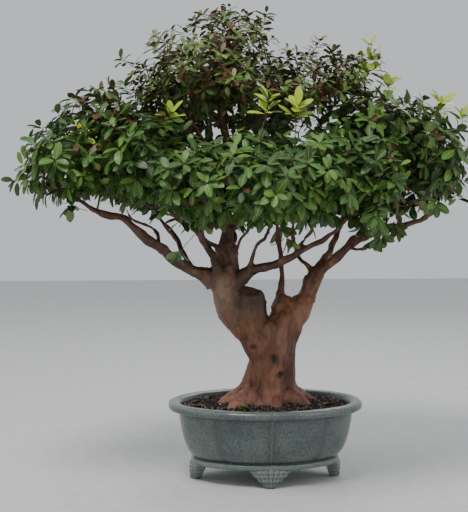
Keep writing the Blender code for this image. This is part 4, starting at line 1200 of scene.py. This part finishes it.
def finish_drainage():
    """The mesh screens and wire clips keep their shape and get better materials."""
    plastic = Shader("screen_plastic")
    scuff = plastic.noise(200.0, 3.0)
    plastic.set("Base Color", plastic.ramp(scuff, (0.4, (0.020, 0.022, 0.022)), (0.7, (0.050, 0.052, 0.050))))
    plastic.set("Roughness", 0.55)
    wire = Shader("clip_wire")
    dull = wire.noise(300.0, 3.0)
    wire.set("Base Color", wire.ramp(dull, (0.4, (0.42, 0.42, 0.43)), (0.7, (0.62, 0.62, 0.63))))
    wire.set("Metallic", 1.0)
    wire.set("Roughness", wire.ramp(dull, (0.4, 0.30), (0.7, 0.50)))
    for name, obj in NODES.items():
        if name.startswith(("drain_screen", "screen_clip")):
            obj.data.materials.clear()
            screen = name.startswith("drain_screen")
            obj.data.materials.append(plastic.material if screen else wire.material)


# ---- stage and light -------------------------------------------------------------------------------
def make_stage():
    bpy.ops.mesh.primitive_plane_add(size=12.0, location=(0.0, 0.0, 0.0))
    floor = bpy.context.active_object
    floor.name = "floor"
    plain = Shader("floor_paint")
    plain.set("Base Color", plain.ramp(plain.noise(30.0), (0.4, (0.60, 0.60, 0.59)), (0.6, (0.64, 0.64, 0.63))))
    plain.set("Roughness", 0.8)
    floor.data.materials.append(plain.material)
    world = bpy.data.worlds.new("studio")
    world.use_nodes = True
    world.node_tree.nodes["Background"].inputs["Color"].default_value = (0.93, 0.96, 1.0, 1.0)
    world.node_tree.nodes["Background"].inputs["Strength"].default_value = 0.68
    bpy.context.scene.world = world


def area_light(name, place, target, size, power, colour=(1.0, 1.0, 1.0)):
    lamp = bpy.data.lights.new(name, "AREA")
    lamp.shape = "DISK"
    lamp.size = size
    lamp.energy = power
    lamp.color = colour
    obj = bpy.data.objects.new(name, lamp)
    bpy.context.scene.collection.objects.link(obj)
    obj.location = place
    obj.rotation_euler = (Vector(target) - Vector(place)).to_track_quat("-Z", "Y").to_euler()


def make_lights():
    aim = (0.0, 0.0, 0.55)
    area_light("key", (-0.9, -1.5, 3.3), aim, 1.3, 84.0, (1.0, 0.98, 0.94))
    area_light("fill", (2.4, -1.8, 1.6), aim, 2.0, 9.0, (0.92, 0.96, 1.0))
    area_light("back", (0.8, 2.2, 2.6), aim, 1.8, 22.0)


make_camera()
make_stage()
make_lights()
wood_piece = make_wood()
wood_tree = BVHTree.FromObject(wood_piece, bpy.context.evaluated_depsgraph_get())
make_pot()
make_soil(wood_tree)
make_litter()
make_weed()
finish_drainage()
make_foliage()
